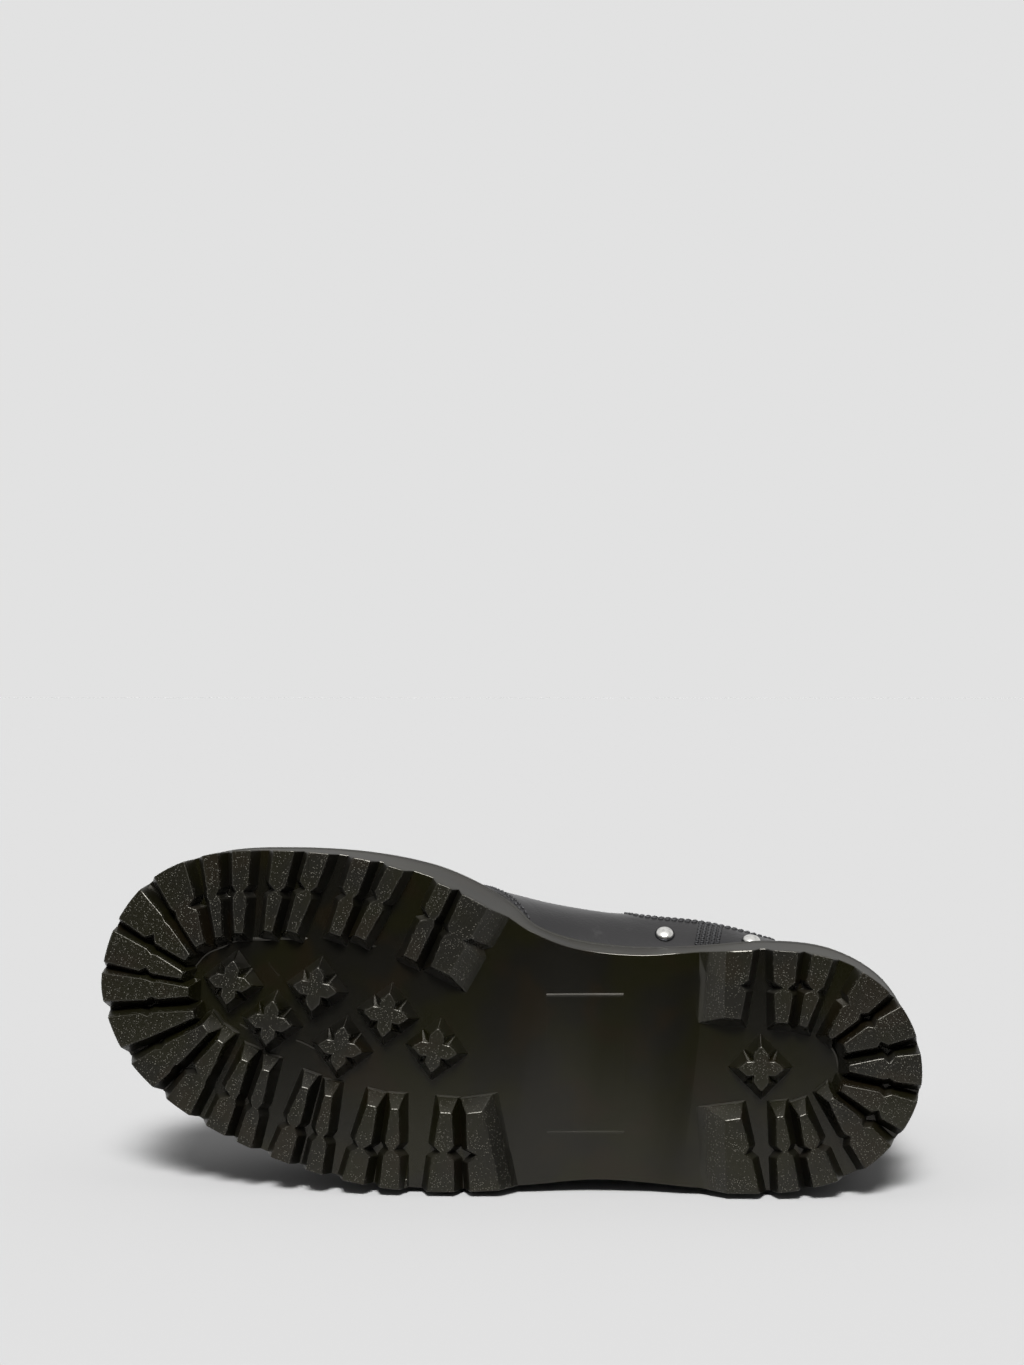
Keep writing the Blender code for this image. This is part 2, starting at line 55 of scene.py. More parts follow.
# ------------------------------------------------
# The sole: one moulded unit of near-black rubber, 293 mm long and 36 to 42 mm thick, from the
# worn faces of its lugs to the thin lip under the leather. Lugs and stars stand 8 mm deep.
LUG_DEPTH = 8.0
FORE_HEIGHT = 36.0
HEEL_HEIGHT = 42.0
ARCH_RISE = 2.5
TOE_SPRING = 11.0
SPRING_START = 188.0
SOLE_LENGTH = 292.8
HEEL_RISE = (175.0, 60.0)
ARCH_HEEL = (78.0, 89.0)
ARCH_FORE = (142.0, 112.0)

# A lug's flanks lean out by DRAFT on the way down and its inner end by CHAMFER. Lugs on the outer
# side of the tread end in a 45 degree bevel, BEVEL_DEPTH deep, with a steep flank below it.
DRAFT = 2.6
CHAMFER = 3.4
BEVEL_DEPTH = 5.0
BEVEL_FLANK = 0.1
BEVEL_TURN = -0.6
LUG_HEIGHTS = (-1.5, BEVEL_DEPTH, LUG_DEPTH + 1)

SOLE_EDGE = (
    # u, v, flare
    (0, 3, 3), (5, 21, 1.5), (17, 34, 2.3), (35, 41.3, 2.1),
    (56, 41.8, 1.5), (80, 38, 0.7), (103, 33.4, 1.9), (125, 33, 2.1),
    (141, 37, 1.4), (152, 41.6, 3.8), (165, 47, 4.5), (182, 52, 4.1),
    (205, 55.6, 2), (232, 55, 0.8), (257.8, 50.6, 0.6), (277.3, 40.3, 0.6),
    (289, 23.6, 0.6), (292.8, 4, 0.6), (289.2, -10.4, 0.6), (278.4, -26.3, 0.6),
    (260, -39.2, 0.6), (236, -48.8, 0.4), (210, -55.2, 0.2), (183, -57.9, 0),
    (158, -56.2, 0), (132, -51.6, 0), (108, -46.8, 0), (84, -45.3, 0),
    (60, -43.9, 0), (38, -40, 0.8), (17.3, -30.5, 2), (4.5, -14.7, 3),
)
EDGE_STEPS = 12

LUGS = (
    # in u, in v, neck u, neck v, out u, out v, in w, neck w, out w, and the flank if it isn't DRAFT
    (260, 1, 273.5, 0, 289, -1.5, 3.2, 5.2, 10.9),
    (263, 6.5, 276, 10, 289, 12.5, 2.4, 5.2, 12.6),
    (262, 13, 273.5, 22, 283.5, 27.5, 2.8, 6, 14),
    (258, 18, 266, 29.5, 271.5, 41, 3.3, 5, 13.5),
    (251.5, 21.7, 256, 36, 258, 48.3, 2.2, 3.4, 6.3),
    (244.5, 24, 246, 38.5, 247, 50.5, 3, 2.4, 7.1),
    (234, 26, 232.5, 40.5, 232, 54, 2.8, 1.4, 8.2),
    (225.5, 27, 221.5, 42, 219.5, 55, 3.8, 1.6, 7.8),
    (210, 28, 206.5, 41.5, 204, 55, 4.2, 2.4, 6.6),
    (201, 28, 195.5, 41.5, 191.5, 53.5, 4.2, 2, 6.2),
    (182.5, 23, 176.5, 37.5, 174, 48.5, 4.8, 1.6, 5.8),
    (171.5, 20, 167.5, 32.5, 162.5, 45, 7, 5.2, 11, 8),
    (257, -6.5, 272.5, -13, 283.5, -16.5, 2.4, 7.4, 12.6),
    (252, -11, 264.5, -23, 272, -30, 3.6, 7.4, 12.4),
    (246, -14.8, 251, -28.3, 258, -39, 2.4, 3.4, 11.4),
    (236.5, -20.2, 239, -33.7, 243.5, -45, 2.6, 1.8, 8.6),
    (228.5, -22.6, 230.5, -36.2, 233, -50, 2.8, 1.8, 6.2),
    (213.8, -26.7, 216.6, -41, 219.5, -53.5, 2.6, 1.8, 8),
    (205.2, -28.5, 206, -43, 207, -55, 2.6, 1.8, 6.6),
    (189.4, -30, 191.5, -45, 192.8, -57, 3.4, 1.8, 8.6),
    (181.4, -30, 180.8, -44.3, 179.8, -57.5, 2.6, 1.8, 7.8),
    (163.4, -29, 162.4, -43, 161.8, -56, 4, 2.2, 10.4),
    (153.5, -27.7, 148.2, -41.6, 146.5, -54, 5.6, 5.2, 11.2, -6),
    (67.6, 16.4, 69, 28, 68, 40, 5.6, 5.2, 9.8, -9),
    (50.5, 17, 50.7, 29, 52, 42, 4.2, 1.6, 9.6),
    (43, 16.8, 40.2, 29.5, 39, 41.5, 2.8, 1.6, 8.2),
    (33.2, 14.2, 26, 25, 20, 34.5, 1.8, 5, 13.6),
    (27.5, 11, 17, 17.2, 8, 22.6, 3.4, 5.2, 13.2),
    (25.4, 4.4, 11.5, 5.2, 2, 7, 2.4, 5, 12),
    (27, -2.7, 13, -6.3, 3, -9.4, 2.4, 5, 12.6),
    (30.5, -7.2, 20.4, -17.2, 13, -24, 2, 5.2, 13.4),
    (39.5, -13.8, 34.3, -25, 29, -36.2, 2.4, 1.6, 10),
    (47.2, -15.4, 44.2, -27.2, 41.3, -40.5, 2.6, 1.6, 8.2),
    (63.4, -18.4, 61.1, -30.8, 57, -43, 5.6, 6.8, 12, 9),
)
NECK_SPREAD = 0.08
LUG_OVERRUN = 6.0

STARS = (
    # u, v, turn in degrees
    (245.3, 6.3, 2), (214.7, 8, 2), (188.5, 2.2, 2), (229.3, -5.8, 2),
    (203.2, -11.5, 2), (169.9, -7.9, 2), (55.7, 0.3, -7),
)
STAR_ARM = 2.35
STAR_SHOULDER = 5.1
STAR_TIP = 7.9
STAR_FOOT = 11.5
STAR_SPREAD = 0.1

# The side wall from the tread up: share of its height, and how far it stands out of the flare.
SIDE_PROFILE = (
    # share, out
    (0, 0), (0.15, -0.1), (0.3, -0.3), (0.6, -0.45),
    (0.9, -0.5), (0.935, -0.45), (0.95, -0.15), (0.965, 0),
    (0.985, 0), (0.996, -0.2), (1, -0.5),
)
EDGE_ROUND = 0.42
CREASE_ANGLE = math.radians(16)
SHARP_ANGLE = math.radians(38)
FLAT_ANGLE = math.radians(0.6)
MERGE_DISTANCE = 0.12
ROUNDED_BELOW = 12
POCKET_SIZE = (340, 170)

# Where the flat block is divided across so that it can bend: the ramp, the arch and the toe.
BENDS = [78.3, 88.7] + [96 + step * 4.6 for step in range(11)]
BENDS += [SPRING_START + 0.3 + step * 5.3 for step in range(20)]


def curve_point(rows, place, closed):
    """Catmull-Rom value of every column of the rows at a place counted in rows."""
    count = len(rows)
    first = math.floor(place)
    if not closed:
        first = min(first, count - 2)
    t = place - first
    picks = []
    for offset in (-1, 0, 1, 2):
        index = first + offset
        picks.append(rows[index % count] if closed else rows[min(max(index, 0), count - 1)])
    a, b, c, d = picks
    return [
        0.5 * (2 * q + (r - p) * t + (2 * p - 5 * q + 4 * r - s) * t**2 + (3 * q - p - 3 * r + s) * t**3)
        for p, q, r, s in zip(a, b, c, d)
    ]


def blend(value, start, end):
    """0 before start, 1 after end, smooth between; start may be the larger one."""
    t = min(max((value - start) / (end - start), 0.0), 1.0)
    return t * t * (3 - 2 * t)


def spring(u):
    return TOE_SPRING * (max(u - SPRING_START, 0.0) / (SOLE_LENGTH - SPRING_START)) ** 2


def sole_top(u):
    return FORE_HEIGHT + (HEEL_HEIGHT - FORE_HEIGHT) * blend(u, *HEEL_RISE)


def arch(u):
    ramp = (u - ARCH_HEEL[0]) / (ARCH_HEEL[1] - ARCH_HEEL[0])
    return ARCH_RISE * min(max(ramp, 0.0), 1.0) * blend(u, *ARCH_FORE)


def bend_sole(point):
    """Takes a point of the flat-topped block to its place in the finished sole."""
    u, v, w = point
    share = max(w - LUG_DEPTH, 0.0) / (FORE_HEIGHT - LUG_DEPTH)
    height = w if w <= LUG_DEPTH else LUG_DEPTH + share * (sole_top(u) - LUG_DEPTH)
    hollow = arch(u) * (1 - min(share, 1.0)) * blend(w, 0.0, LUG_DEPTH)
    return Vector((u, v, height + hollow + spring(u)))


def put_in(name, data):
    """A new object, in the scene."""
    thing = bpy.data.objects.new(name, data)
    bpy.context.collection.objects.link(thing)
    return thing


def to_mesh(name, solid):
    """Turns a bmesh into a mesh."""
    mesh = bpy.data.meshes.new(name)
    solid.to_mesh(mesh)
    solid.free()
    return mesh


def finish_piece(name, mesh_data, material, smooth=True):
    """Lays a bmesh down from shoe axes, pressed flat on the floor, and makes it a piece."""
    bmesh.ops.transform(mesh_data, matrix=LIE @ Matrix.Scale(MM, 4), verts=mesh_data.verts)
    for vert in mesh_data.verts:
        vert.co.z = max(vert.co.z, 0)
    mesh = to_mesh(name, mesh_data)
    mesh.materials.clear()
    for one in material if isinstance(material, tuple) else (material,):
        mesh.materials.append(one)
    mesh.polygons.foreach_set("use_smooth", [smooth] * len(mesh.polygons))
    piece = put_in(name, mesh)
    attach(piece, BODY)
    return piece


def mark_sharp(mesh_data):
    """Keeps corners crisp where two faces meet at more than SHARP_ANGLE."""
    mesh_data.normal_update()
    for edge in mesh_data.edges:
        edge.smooth = edge.calc_face_angle(0) < SHARP_ANGLE


def slice_at(solid, place, normal):
    """Divides every face that a plane crosses."""
    everything = solid.verts[:] + solid.edges[:] + solid.faces[:]
    bmesh.ops.bisect_plane(solid, geom=everything, plane_co=place, plane_no=normal)


def merge(solids):
    """Puts several bmeshes in one."""
    whole = bmesh.new()
    for solid in solids:
        mesh = to_mesh("part", solid)
        whole.from_mesh(mesh)
        bpy.data.meshes.remove(mesh)
    return whole


def form(name, mesh_data):
    """A helper solid for a cut, in millimetres."""
    bmesh.ops.recalc_face_normals(mesh_data, faces=mesh_data.faces)
    return put_in(name, to_mesh(name, mesh_data))


def cut(target, tool, self_crossing=False):
    """Takes the tool out of the target and returns what is left; both objects are removed."""
    modifier = target.modifiers.new("cut", "BOOLEAN")
    modifier.operation = "DIFFERENCE"
    modifier.solver = "EXACT"
    modifier.material_mode = "TRANSFER"
    modifier.use_self = self_crossing
    modifier.object = tool
    graph = bpy.context.evaluated_depsgraph_get()
    result = bmesh.new()
    result.from_mesh(bpy.data.meshes.new_from_object(target.evaluated_get(graph)))
    for thing in (target, tool):
        bpy.data.objects.remove(thing, do_unlink=True)
    return result


def sole_block():
    """The whole sole as a prism, its side wall drawn through SIDE_PROFILE."""
    count = len(SOLE_EDGE) * EDGE_STEPS
    solid = bmesh.new()
    bmesh.ops.create_cone(solid, cap_ends=True, segments=count, radius1=1, radius2=1, depth=1)
    for share, _ in SIDE_PROFILE[1:-1]:
        slice_at(solid, (0, 0, share - 0.5), (0, 0, 1))
    for vert in solid.verts:
        place = math.atan2(vert.co.y, vert.co.x) / math.tau * len(SOLE_EDGE)
        share = vert.co.z + 0.5
        out = next(o for s, o in SIDE_PROFILE if abs(s - share) < 0.001)
        u, v, flare = curve_point(SOLE_EDGE, place, closed=True)
        ahead = curve_point(SOLE_EDGE, place + 0.05, closed=True)
        outward = Vector((v - ahead[1], ahead[0] - u, 0)).normalized()
        vert.co = Vector((u, v, share * FORE_HEIGHT)) + outward * (flare * share + out)
    return form("sole_block", solid)


def lug_form(row):
    """One lug, widening from its worn face to the groove floor and a little past both."""
    inner, neck, outer = (Vector((row[i], row[i + 1], 0)) for i in (0, 2, 4))
    widths = row[6:9]
    flank = row[9] if len(row) > 9 else 0
    length = (outer - inner).length
    outward = (outer - inner) / length
    left = Vector((-outward.y, outward.x, 0))
    neck_share = (neck - inner).length / length
    slopes = {1: max(flank, 0) or DRAFT, -1: max(-flank, 0) or DRAFT}
    solid = bmesh.new()
    bmesh.ops.create_cube(solid, size=1.0)
    for station in (-0.25, 0, 0.25):
        slice_at(solid, (station, 0, 0), (1, 0, 0))
    bevelled = outward.y < BEVEL_TURN
    if bevelled:
        slice_at(solid, (0, 0, 0), (0, 0, 1))
    for vert in solid.verts:
        station = round((vert.co.x + 0.5) * 4)
        sign = 1 if vert.co.y > 0 else -1
        height = LUG_HEIGHTS[round(vert.co.z * 2) + 1]
        share = height / LUG_DEPTH
        near = inner + left * sign * widths[0] / 2
        far = outer + left * sign * widths[2] / 2
        spots = (near, near.lerp(far, neck_share - NECK_SPREAD), neck + left * sign * widths[1] / 2,
                 near.lerp(far, neck_share + NECK_SPREAD), far + outward * LUG_OVERRUN)
        spot = spots[station] + left * sign * slopes[sign] * share
        if station == 0 and bevelled:
            spot = spot - outward * min(height, BEVEL_DEPTH + BEVEL_FLANK * (height - BEVEL_DEPTH))
        elif station == 0:
            spot = spot - outward * CHAMFER * share
        vert.co = spot + Vector((0, 0, height))
    return solid


def star_form(row):
    """A cross with pointed arms that widens to a square foot."""
    u, v, turn = row
    face = ((STAR_TIP, 0), (STAR_SHOULDER, STAR_ARM), (STAR_ARM, STAR_ARM),
            (STAR_ARM, STAR_SHOULDER))
    corner = Vector((STAR_FOOT, 0, 0))
    beside = Vector((0, STAR_FOOT, 0))
    foot = [corner.lerp(beside, share) for share in (0, 0.5 - STAR_SPREAD, 0.5, 0.5 + STAR_SPREAD)]
    solid = bmesh.new()
    bmesh.ops.create_cone(solid, cap_ends=True, segments=16, radius1=1, radius2=1, depth=1)
    for vert in solid.verts:
        step = round(math.atan2(vert.co.y, vert.co.x) / (math.pi / 8)) % 16
        height = LUG_HEIGHTS[2 if vert.co.z > 0 else 0]
        spot = Vector((*face[step % 4], 0)).lerp(foot[step % 4], height / LUG_DEPTH)
        spot.rotate(Matrix.Rotation(math.radians(turn + 90 * (step // 4)), 3, "Z"))
        vert.co = Vector((u, v, height)) + spot
    sides = [face for face in solid.faces if len(face.verts) == 4]
    bmesh.ops.triangulate(solid, faces=sides, quad_method="SHORT_EDGE")
    return solid


def make_sole():
    """Cuts the grooves out of the flat block, rounds its edges, and bends it."""
    solids = [lug_form(row) for row in LUGS] + [star_form(row) for row in STARS]
    for solid in solids:
        bmesh.ops.recalc_face_normals(solid, faces=solid.faces)
    pocket = bmesh.new()
    bmesh.ops.create_cube(pocket, size=1.0)
    for vert in pocket.verts:
        u = SOLE_LENGTH / 2 + vert.co.x * POCKET_SIZE[0]
        vert.co = Vector((u, vert.co.y * POCKET_SIZE[1], LUG_DEPTH if vert.co.z > 0 else -1))
    between = cut(form("pocket", pocket), form("lugs", merge(solids)), self_crossing=True)
    grooves = form("grooves", between)
    grooves.data.materials.append(moulded)
    block = sole_block()
    block.data.materials.append(stippled)
    flat = cut(block, grooves)
    bmesh.ops.remove_doubles(flat, verts=flat.verts, dist=MERGE_DISTANCE)
    bmesh.ops.dissolve_limit(flat, angle_limit=FLAT_ANGLE, verts=flat.verts, edges=flat.edges)
    creases = [e for e in flat.edges if len(e.link_faces) == 2
               and e.calc_face_angle_signed(0) > CREASE_ANGLE
               and max(v.co.z for v in e.verts) < ROUNDED_BELOW]
    bmesh.ops.bevel(flat, geom=creases, affect="EDGES", offset=EDGE_ROUND, offset_type="OFFSET",
                    segments=2, profile=0.5, material=-1, clamp_overlap=False)
    for u in BENDS:
        slice_at(flat, (u, 0, 0), (1, 0, 0))
    bmesh.ops.triangulate(flat, faces=flat.faces)
    for vert in flat.verts:
        vert.co = bend_sole(vert.co)
    mark_sharp(flat)
    piece = finish_piece("sole_unit", flat, (stippled, moulded))
    weighted = piece.modifiers.new("even_shading", "WEIGHTED_NORMAL")
    weighted.weight = 80
    weighted.keep_sharp = True
    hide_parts("sole")


class Wire:
    """An output of a material's node, with arithmetic that adds Math nodes."""

    def __init__(self, finish, socket):
        self.finish = finish
        self.socket = socket

    def math(self, operation, other=0.0):
        return self.finish.node("ShaderNodeMath", {"operation": operation}, {0: self, 1: other})

    def __add__(self, other):
        return self.math("ADD", other)

    def __sub__(self, other):
        return self.math("SUBTRACT", other)

    def __mul__(self, other):
        return self.math("MULTIPLY", other)

    def clip(self, low, high):
        """0 below low, 1 above high, smooth between; low may be the larger."""
        start, end = (1.0, 0.0) if low > high else (0.0, 1.0)
        sockets = {"Value": self, "From Min": min(low, high), "From Max": max(low, high),
                   "To Min": start, "To Max": end}
        kind = {"interpolation_type": "SMOOTHSTEP"}
        return self.finish.node("ShaderNodeMapRange", kind, sockets)


class Finish:
    """A material of one surface. Constants go on the shader's own sockets."""

    def __init__(self, name, **constants):
        self.material = bpy.data.materials.new(name)
        self.material.use_nodes = True
        self.tree = self.material.node_tree
        self.shader = self.tree.nodes["Principled BSDF"]
        for socket, value in constants.items():
            self.shader.inputs[socket.replace("_", " ")].default_value = value

    def node(self, kind, settings=None, sockets=None, output=0):
        """Adds a node with its settings and sockets, and returns one of its outputs."""
        made = self.tree.nodes.new(kind)
        for name, value in (settings or {}).items():
            setattr(made, name, value)
        for name, value in (sockets or {}).items():
            self.join(made.inputs[name], value)
        return Wire(self, made.outputs[output])

    def join(self, socket, value):
        if isinstance(value, Wire):
            self.tree.links.new(value.socket, socket)
        else:
            socket.default_value = value

    def feed(self, **sockets):
        """Joins what varies over the surface to the shader."""
        for name, value in sockets.items():
            self.join(self.shader.inputs[name.replace("_", " ")], value)

    def axes(self):
        """The point's place along u, v and w in millimetres, worked out from Object coordinates."""
        place = self.node("ShaderNodeTexCoord", output="Object")
        origin = LIE.translation
        spots = []
        for column in range(3):
            axis = Vector(LIE.col[column][:3])
            spots.append((self.dot(place, axis) - axis.dot(origin)) * 1000)
        return place, spots

    def dot(self, first, second):
        return self.node("ShaderNodeVectorMath", {"operation": "DOT_PRODUCT"},
                         {0: first, 1: second}, "Value")

    def noise(self, place, size, detail, rough=0.5):
        """Soft noise with lumps of a size in millimetres."""
        sockets = {"Vector": place, "Scale": 1 / (size * MM), "Detail": detail, "Roughness": rough}
        return self.node("ShaderNodeTexNoise", {}, sockets)

    def cells(self, place, size, output="Distance"):
        """Cells of a size in millimetres."""
        sockets = {"Vector": place, "Scale": 1 / (size * MM)}
        return self.node("ShaderNodeTexVoronoi", {}, sockets, output)

    def mix(self, factor, first, second):
        made = self.tree.nodes.new("ShaderNodeMix")
        made.data_type = "RGBA"
        for name, value in (("Factor_Float", factor), ("A_Color", first), ("B_Color", second)):
            socket = next(s for s in made.inputs if s.identifier == name)
            fixed = isinstance(value, tuple)
            self.join(socket, (*value, 1) if fixed else value)
        return Wire(self, next(s for s in made.outputs if s.identifier == "Result_Color"))

    def bump(self, height, distance, over=None):
        """Height is in shares of the distance, which is in millimetres."""
        sockets = {"Height": height, "Distance": distance * MM}
        if over:
            sockets["Normal"] = over
        return self.node("ShaderNodeBump", {}, sockets)


OLIVE = (0.0020, 0.0019, 0.0005)
SOOT = (0.0014, 0.0013, 0.0009)
BROWN = (0.0027, 0.0018, 0.0007)
WARM_SHEEN = (1.0, 0.96, 0.86, 1.0)
GRAIN = 0.72
# Painted highlight: the lighter colour given to the grain's dots, standing in for their glints.
PAINTED_GRAIN_GLINT = (0.040, 0.038, 0.030)
WORN_BAND = (2.4, 1.0)
BEVEL_BAND = (6.5, 5.2)
RIM_BAND = (17, 11)
RIM_ENDS = ((62, 76), (155, 140))


def rubber(name, grain):
    """Near-black rubber; grain stipples its worn faces, bevels and waist rim, and its dots are painted
    lighter there as a painted highlight standing in for sparkle.
    """
    finish = Finish(name, IOR=1.5, Specular_Tint=WARM_SHEEN)
    place, (u, v, w) = finish.axes()
    clouds = finish.noise(place, 26, 2)
    patches = finish.noise(place, 17, 1)
    colour = finish.mix(clouds.clip(0.40, 0.60), OLIVE, SOOT)
    colour = finish.mix(patches.clip(0.52, 0.66) * 0.7, colour, BROWN)
    grains = finish.cells(place, GRAIN).clip(0.36, 0.14)
    grains = grains * finish.cells(place, GRAIN, "Color").clip(0.34, 0.66)
    lift = (u - SPRING_START).math("MAXIMUM") * (1 / (SOLE_LENGTH - SPRING_START))
    above = w - lift * lift * TOE_SPRING
    facing = finish.dot(finish.node("ShaderNodeTexCoord", output="Normal"), -Vector(LIE.col[2][:3]))
    # The bevels' grain counts 1.8 times: real stipple, made denser so that its painted highlight
    # brightens the bevels.
    bevel_grain_and_glint = above.clip(*BEVEL_BAND) * facing.clip(0.45, 0.62) * 1.8
    rim = above.clip(*RIM_BAND) * facing.clip(0.8, 0.4)
    rim = rim * u.clip(*RIM_ENDS[0]) * u.clip(*RIM_ENDS[1])
    grain_and_glint_mask = above.clip(*WORN_BAND).math("MAXIMUM", bevel_grain_and_glint).math("MAXIMUM", rim * 0.8) * grain + 0.012
    wall = facing.clip(0.45, 0.15) * grain
    # Painted highlight: the grain's dots are painted lighter, standing in for sparkle on the stipple.
    colour = finish.mix((grains * grain_and_glint_mask).clip(0.0, 1.0), colour, PAINTED_GRAIN_GLINT)
    finish.feed(Base_Color=colour, Roughness=grain_and_glint_mask * 0.06 + (clouds * 0.06 + (wall * 0.40 + 0.16)),
                Normal=finish.bump(grains * grain_and_glint_mask, 0.30))
    return finish.material


stippled = rubber("stippled_rubber", 1.0)
moulded = rubber("moulded_rubber", 0.0)
make_sole()


# The thin moulded lines of the tread: an empty frame round the bare waist, an arc where the toe's
# flat begins, and short ridges between the lugs. Each stands a fraction of a millimetre proud.
FRAME_CENTRE = (117.0, -6.6)
FRAME_LENGTH = 27.2
FRAME_WIDTH = 48.4
FRAME_TURN = math.radians(-7.2)
ROOF = ((-0.62, -0.1), (-0.55, 0.0), (0.0, 0.16), (0.55, 0.0), (0.62, -0.1))
SIDE_RISE = 0.25
TICK_RISE = 0.4
FLOOR_LINES = (
    ((260.5, 8.8), (258.3, 12.2), (255.6, 15.3), (250.6, 18.1), (247.4, 20.3), (241.3, 22.0),
     (235.2, 22.7), (229.4, 23.8), (220.4, 24.8)),
    ((205.4, 26.2), (200.3, 25.8), (195.5, 25.3)),
    ((233.4, 14.6), (231.2, 12.6), (228.8, 10.6)),
    ((220.1, -11.1), (216.5, -12.0), (212.9, -13.3)),
    ((241.0, -8.2), (239.4, -8.8), (237.9, -9.6)),
    ((36.6, 14.5), (33.3, 11.9), (30.2, 8.4), (28.6, 4.3), (28.0, 0.8)),
)


def sweep(points, normals, outline, closed=False, taper=False):
    """Draws an outline of (across, height) pairs along points; closed is both ways round."""
    count, width = len(points), len(outline)
    rows = count if closed else count - 1
    columns = width if closed else width - 1
    solid = bmesh.new()
    bmesh.ops.create_grid(solid, x_segments=columns, y_segments=rows, size=1)
    for vert in solid.verts:
        column = round((vert.co.x + 1) / 2 * columns) % width
        row = round((vert.co.y + 1) / 2 * rows) % count
        before = points[(row - 1) % count if closed else max(row - 1, 0)]
        after = points[(row + 1) % count if closed else min(row + 1, count - 1)]
        normal = normals[row]
        side = (after - before).cross(normal).normalized()
        across, height = outline[column]
        shrink = 0.0 if taper and row in (0, count - 1) else 1.0
        vert.co = points[row] + (side * across + normal * height) * shrink
    bmesh.ops.remove_doubles(solid, verts=solid.verts, dist=0.002)
    bmesh.ops.recalc_face_normals(solid, faces=solid.faces)
    return solid


def round_outline(width, height, sides=8):
    """A closed oval for sweep."""
    turns = [math.tau * step / sides for step in range(sides)]
    return [(width / 2 * math.cos(turn), height * math.sin(turn)) for turn in turns]


def smooth_path(knots, pieces):
    """Catmull-Rom points through given knots."""
    steps = range((len(knots) - 1) * pieces + 1)
    return [Vector(curve_point(knots, step / pieces, closed=False)) for step in steps]


def tread_lines():
    lines = []
    down = Vector((0, 0, -1))
    turn = Matrix.Rotation(FRAME_TURN, 3, "Z")
    corners = []
    for along, across in ((1, 1), (-1, 1), (-1, -1), (1, -1)):
        corner = Vector((along * FRAME_LENGTH / 2, across * FRAME_WIDTH / 2, 0))
        corners.append(turn @ corner + Vector((*FRAME_CENTRE, 0)))
    for side, (start, end) in enumerate(zip(corners, corners[1:] + corners[:1])):
        spots = [start.lerp(end, step / 12) for step in range(13)]
        path = [bend_sole((spot.x, spot.y, LUG_DEPTH)) for spot in spots]
        rise = SIDE_RISE if side % 2 else 1.0
        outline = [(across * rise, height * rise) for across, height in ROOF]
        lines.append(sweep(path, [down] * len(path), outline))
    for knots in FLOOR_LINES:
        path = [bend_sole((*spot, LUG_DEPTH)) for spot in smooth_path(knots, 6)]
        rise = TICK_RISE if len(knots) == 3 else 1.0
        outline = [(across, height * rise) for across, height in ROOF]
        lines.append(sweep(path, [down] * len(path), outline, taper=True))
    finish_piece("tread_lines", merge(lines), moulded, smooth=False)


tread_lines()

# ------------------------------------------------
# The upper: black smooth leather over a textile lining, 2 mm thick together, pulled over the last
# and glued into the lip of the sole. It is hollow and open at the collar and at the two elastics.
WALL = 2.0
GAP = 0.3
COLLAR_FRONT = 118.0
COLLAR_OVERRUN = 12.0
UNDER_START = -20
UNDER_SIZE = (322, 180)
UNDER_STEPS = 23
UNDER_DEPTH = -90
SIDE_REACH = 90
GORE_CENTRE = 81.5
GORE_HALF_WIDTH = 26.0
GORE_BOTTOM = 60.0
GORE_CURVE = 12.0
GORE_SQUARENESS = 0.55
GORE_STEPS = 24
HOLE_START = 4
HOLE_FLARE = 2
HOLE_TOP = 210.0

# Sections of the last, from the toe to the collar, as in the CAD: each runs from a back or bottom
# point to a front or top point on the middle plane.
LAST = (
    # bottom u, w, top u, w, inner, outer, ridge, belly, low in, low out, high
    (284.3, 45, 284.3, 47, 5, -3, 4, 0.50, 2, 2, 2),
    (282.6, 35, 282.8, 59, 16, 6.5, 4.5, 0.50, 2.2, 2.2, 2),
    (279, 28, 279, 68, 25, 13.5, 5, 0.50, 2.4, 2.4, 2),
    (272.5, 24, 272, 75.5, 34, 21.5, 6, 0.48, 2.8, 2.8, 2.1),
    (263, 22, 262, 80.5, 41, 29.5, 6.5, 0.46, 3.2, 3.2, 2.2),
    (250, 20, 249, 84.5, 46, 37.5, 6.5, 0.44, 3.6, 3.6, 2.3),
    (232, 20, 231, 89, 49.5, 44.5, 6, 0.42, 4, 4, 2.3),
    (210, 20, 208, 95.5, 51, 49.8, 5, 0.40, 4, 4, 2.2),
    (186, 22, 184, 103.5, 50.5, 51.5, 4, 0.38, 3.6, 3.6, 2.1),
    (160, 27, 162, 113.5, 48.9, 50, 3, 0.35, 2.9, 3.2, 2),
    (132, 30, 144, 125, 46, 47, 2, 0.31, 2.3, 3, 2),
    (100, 33, 131.5, 136.5, 45.2, 45, 1.5, 0.27, 1.8, 3, 2.1),
    (66, 31, 124, 148, 46.3, 43, 1, 0.27, 1.8, 3, 2.2),
    (34, 26, 120.5, 158, 43.3, 41, 0.5, 0.32, 2.4, 3, 2.3),
    (10, 34, 119, 166, 40, 40, 0, 0.38, 2.8, 2.8, 2.3),
    (1.5, 57, 118.3, 173, 38.5, 38.5, 0, 0.42, 2.4, 2.4, 2.3),
    (1.5, 84, COLLAR_FRONT, 179, 37.5, 37.5, 0, 0.45, 2.3, 2.3, 2.3),
    (5, 112, COLLAR_FRONT, 184, 36.5, 36.8, 0, 0.48, 2.2, 2.2, 2.2),
    (7.5, 140, COLLAR_FRONT, 188, 35.5, 36.2, 0, 0.50, 2.2, 2.2, 2.2),
    (8, 166, COLLAR_FRONT, 191, 35, 36, 0, 0.50, 2.2, 2.2, 2.2),
    (7.5, 190, COLLAR_FRONT, 193.5, 35, 36, 0, 0.50, 2.2, 2.2, 2.2),
)
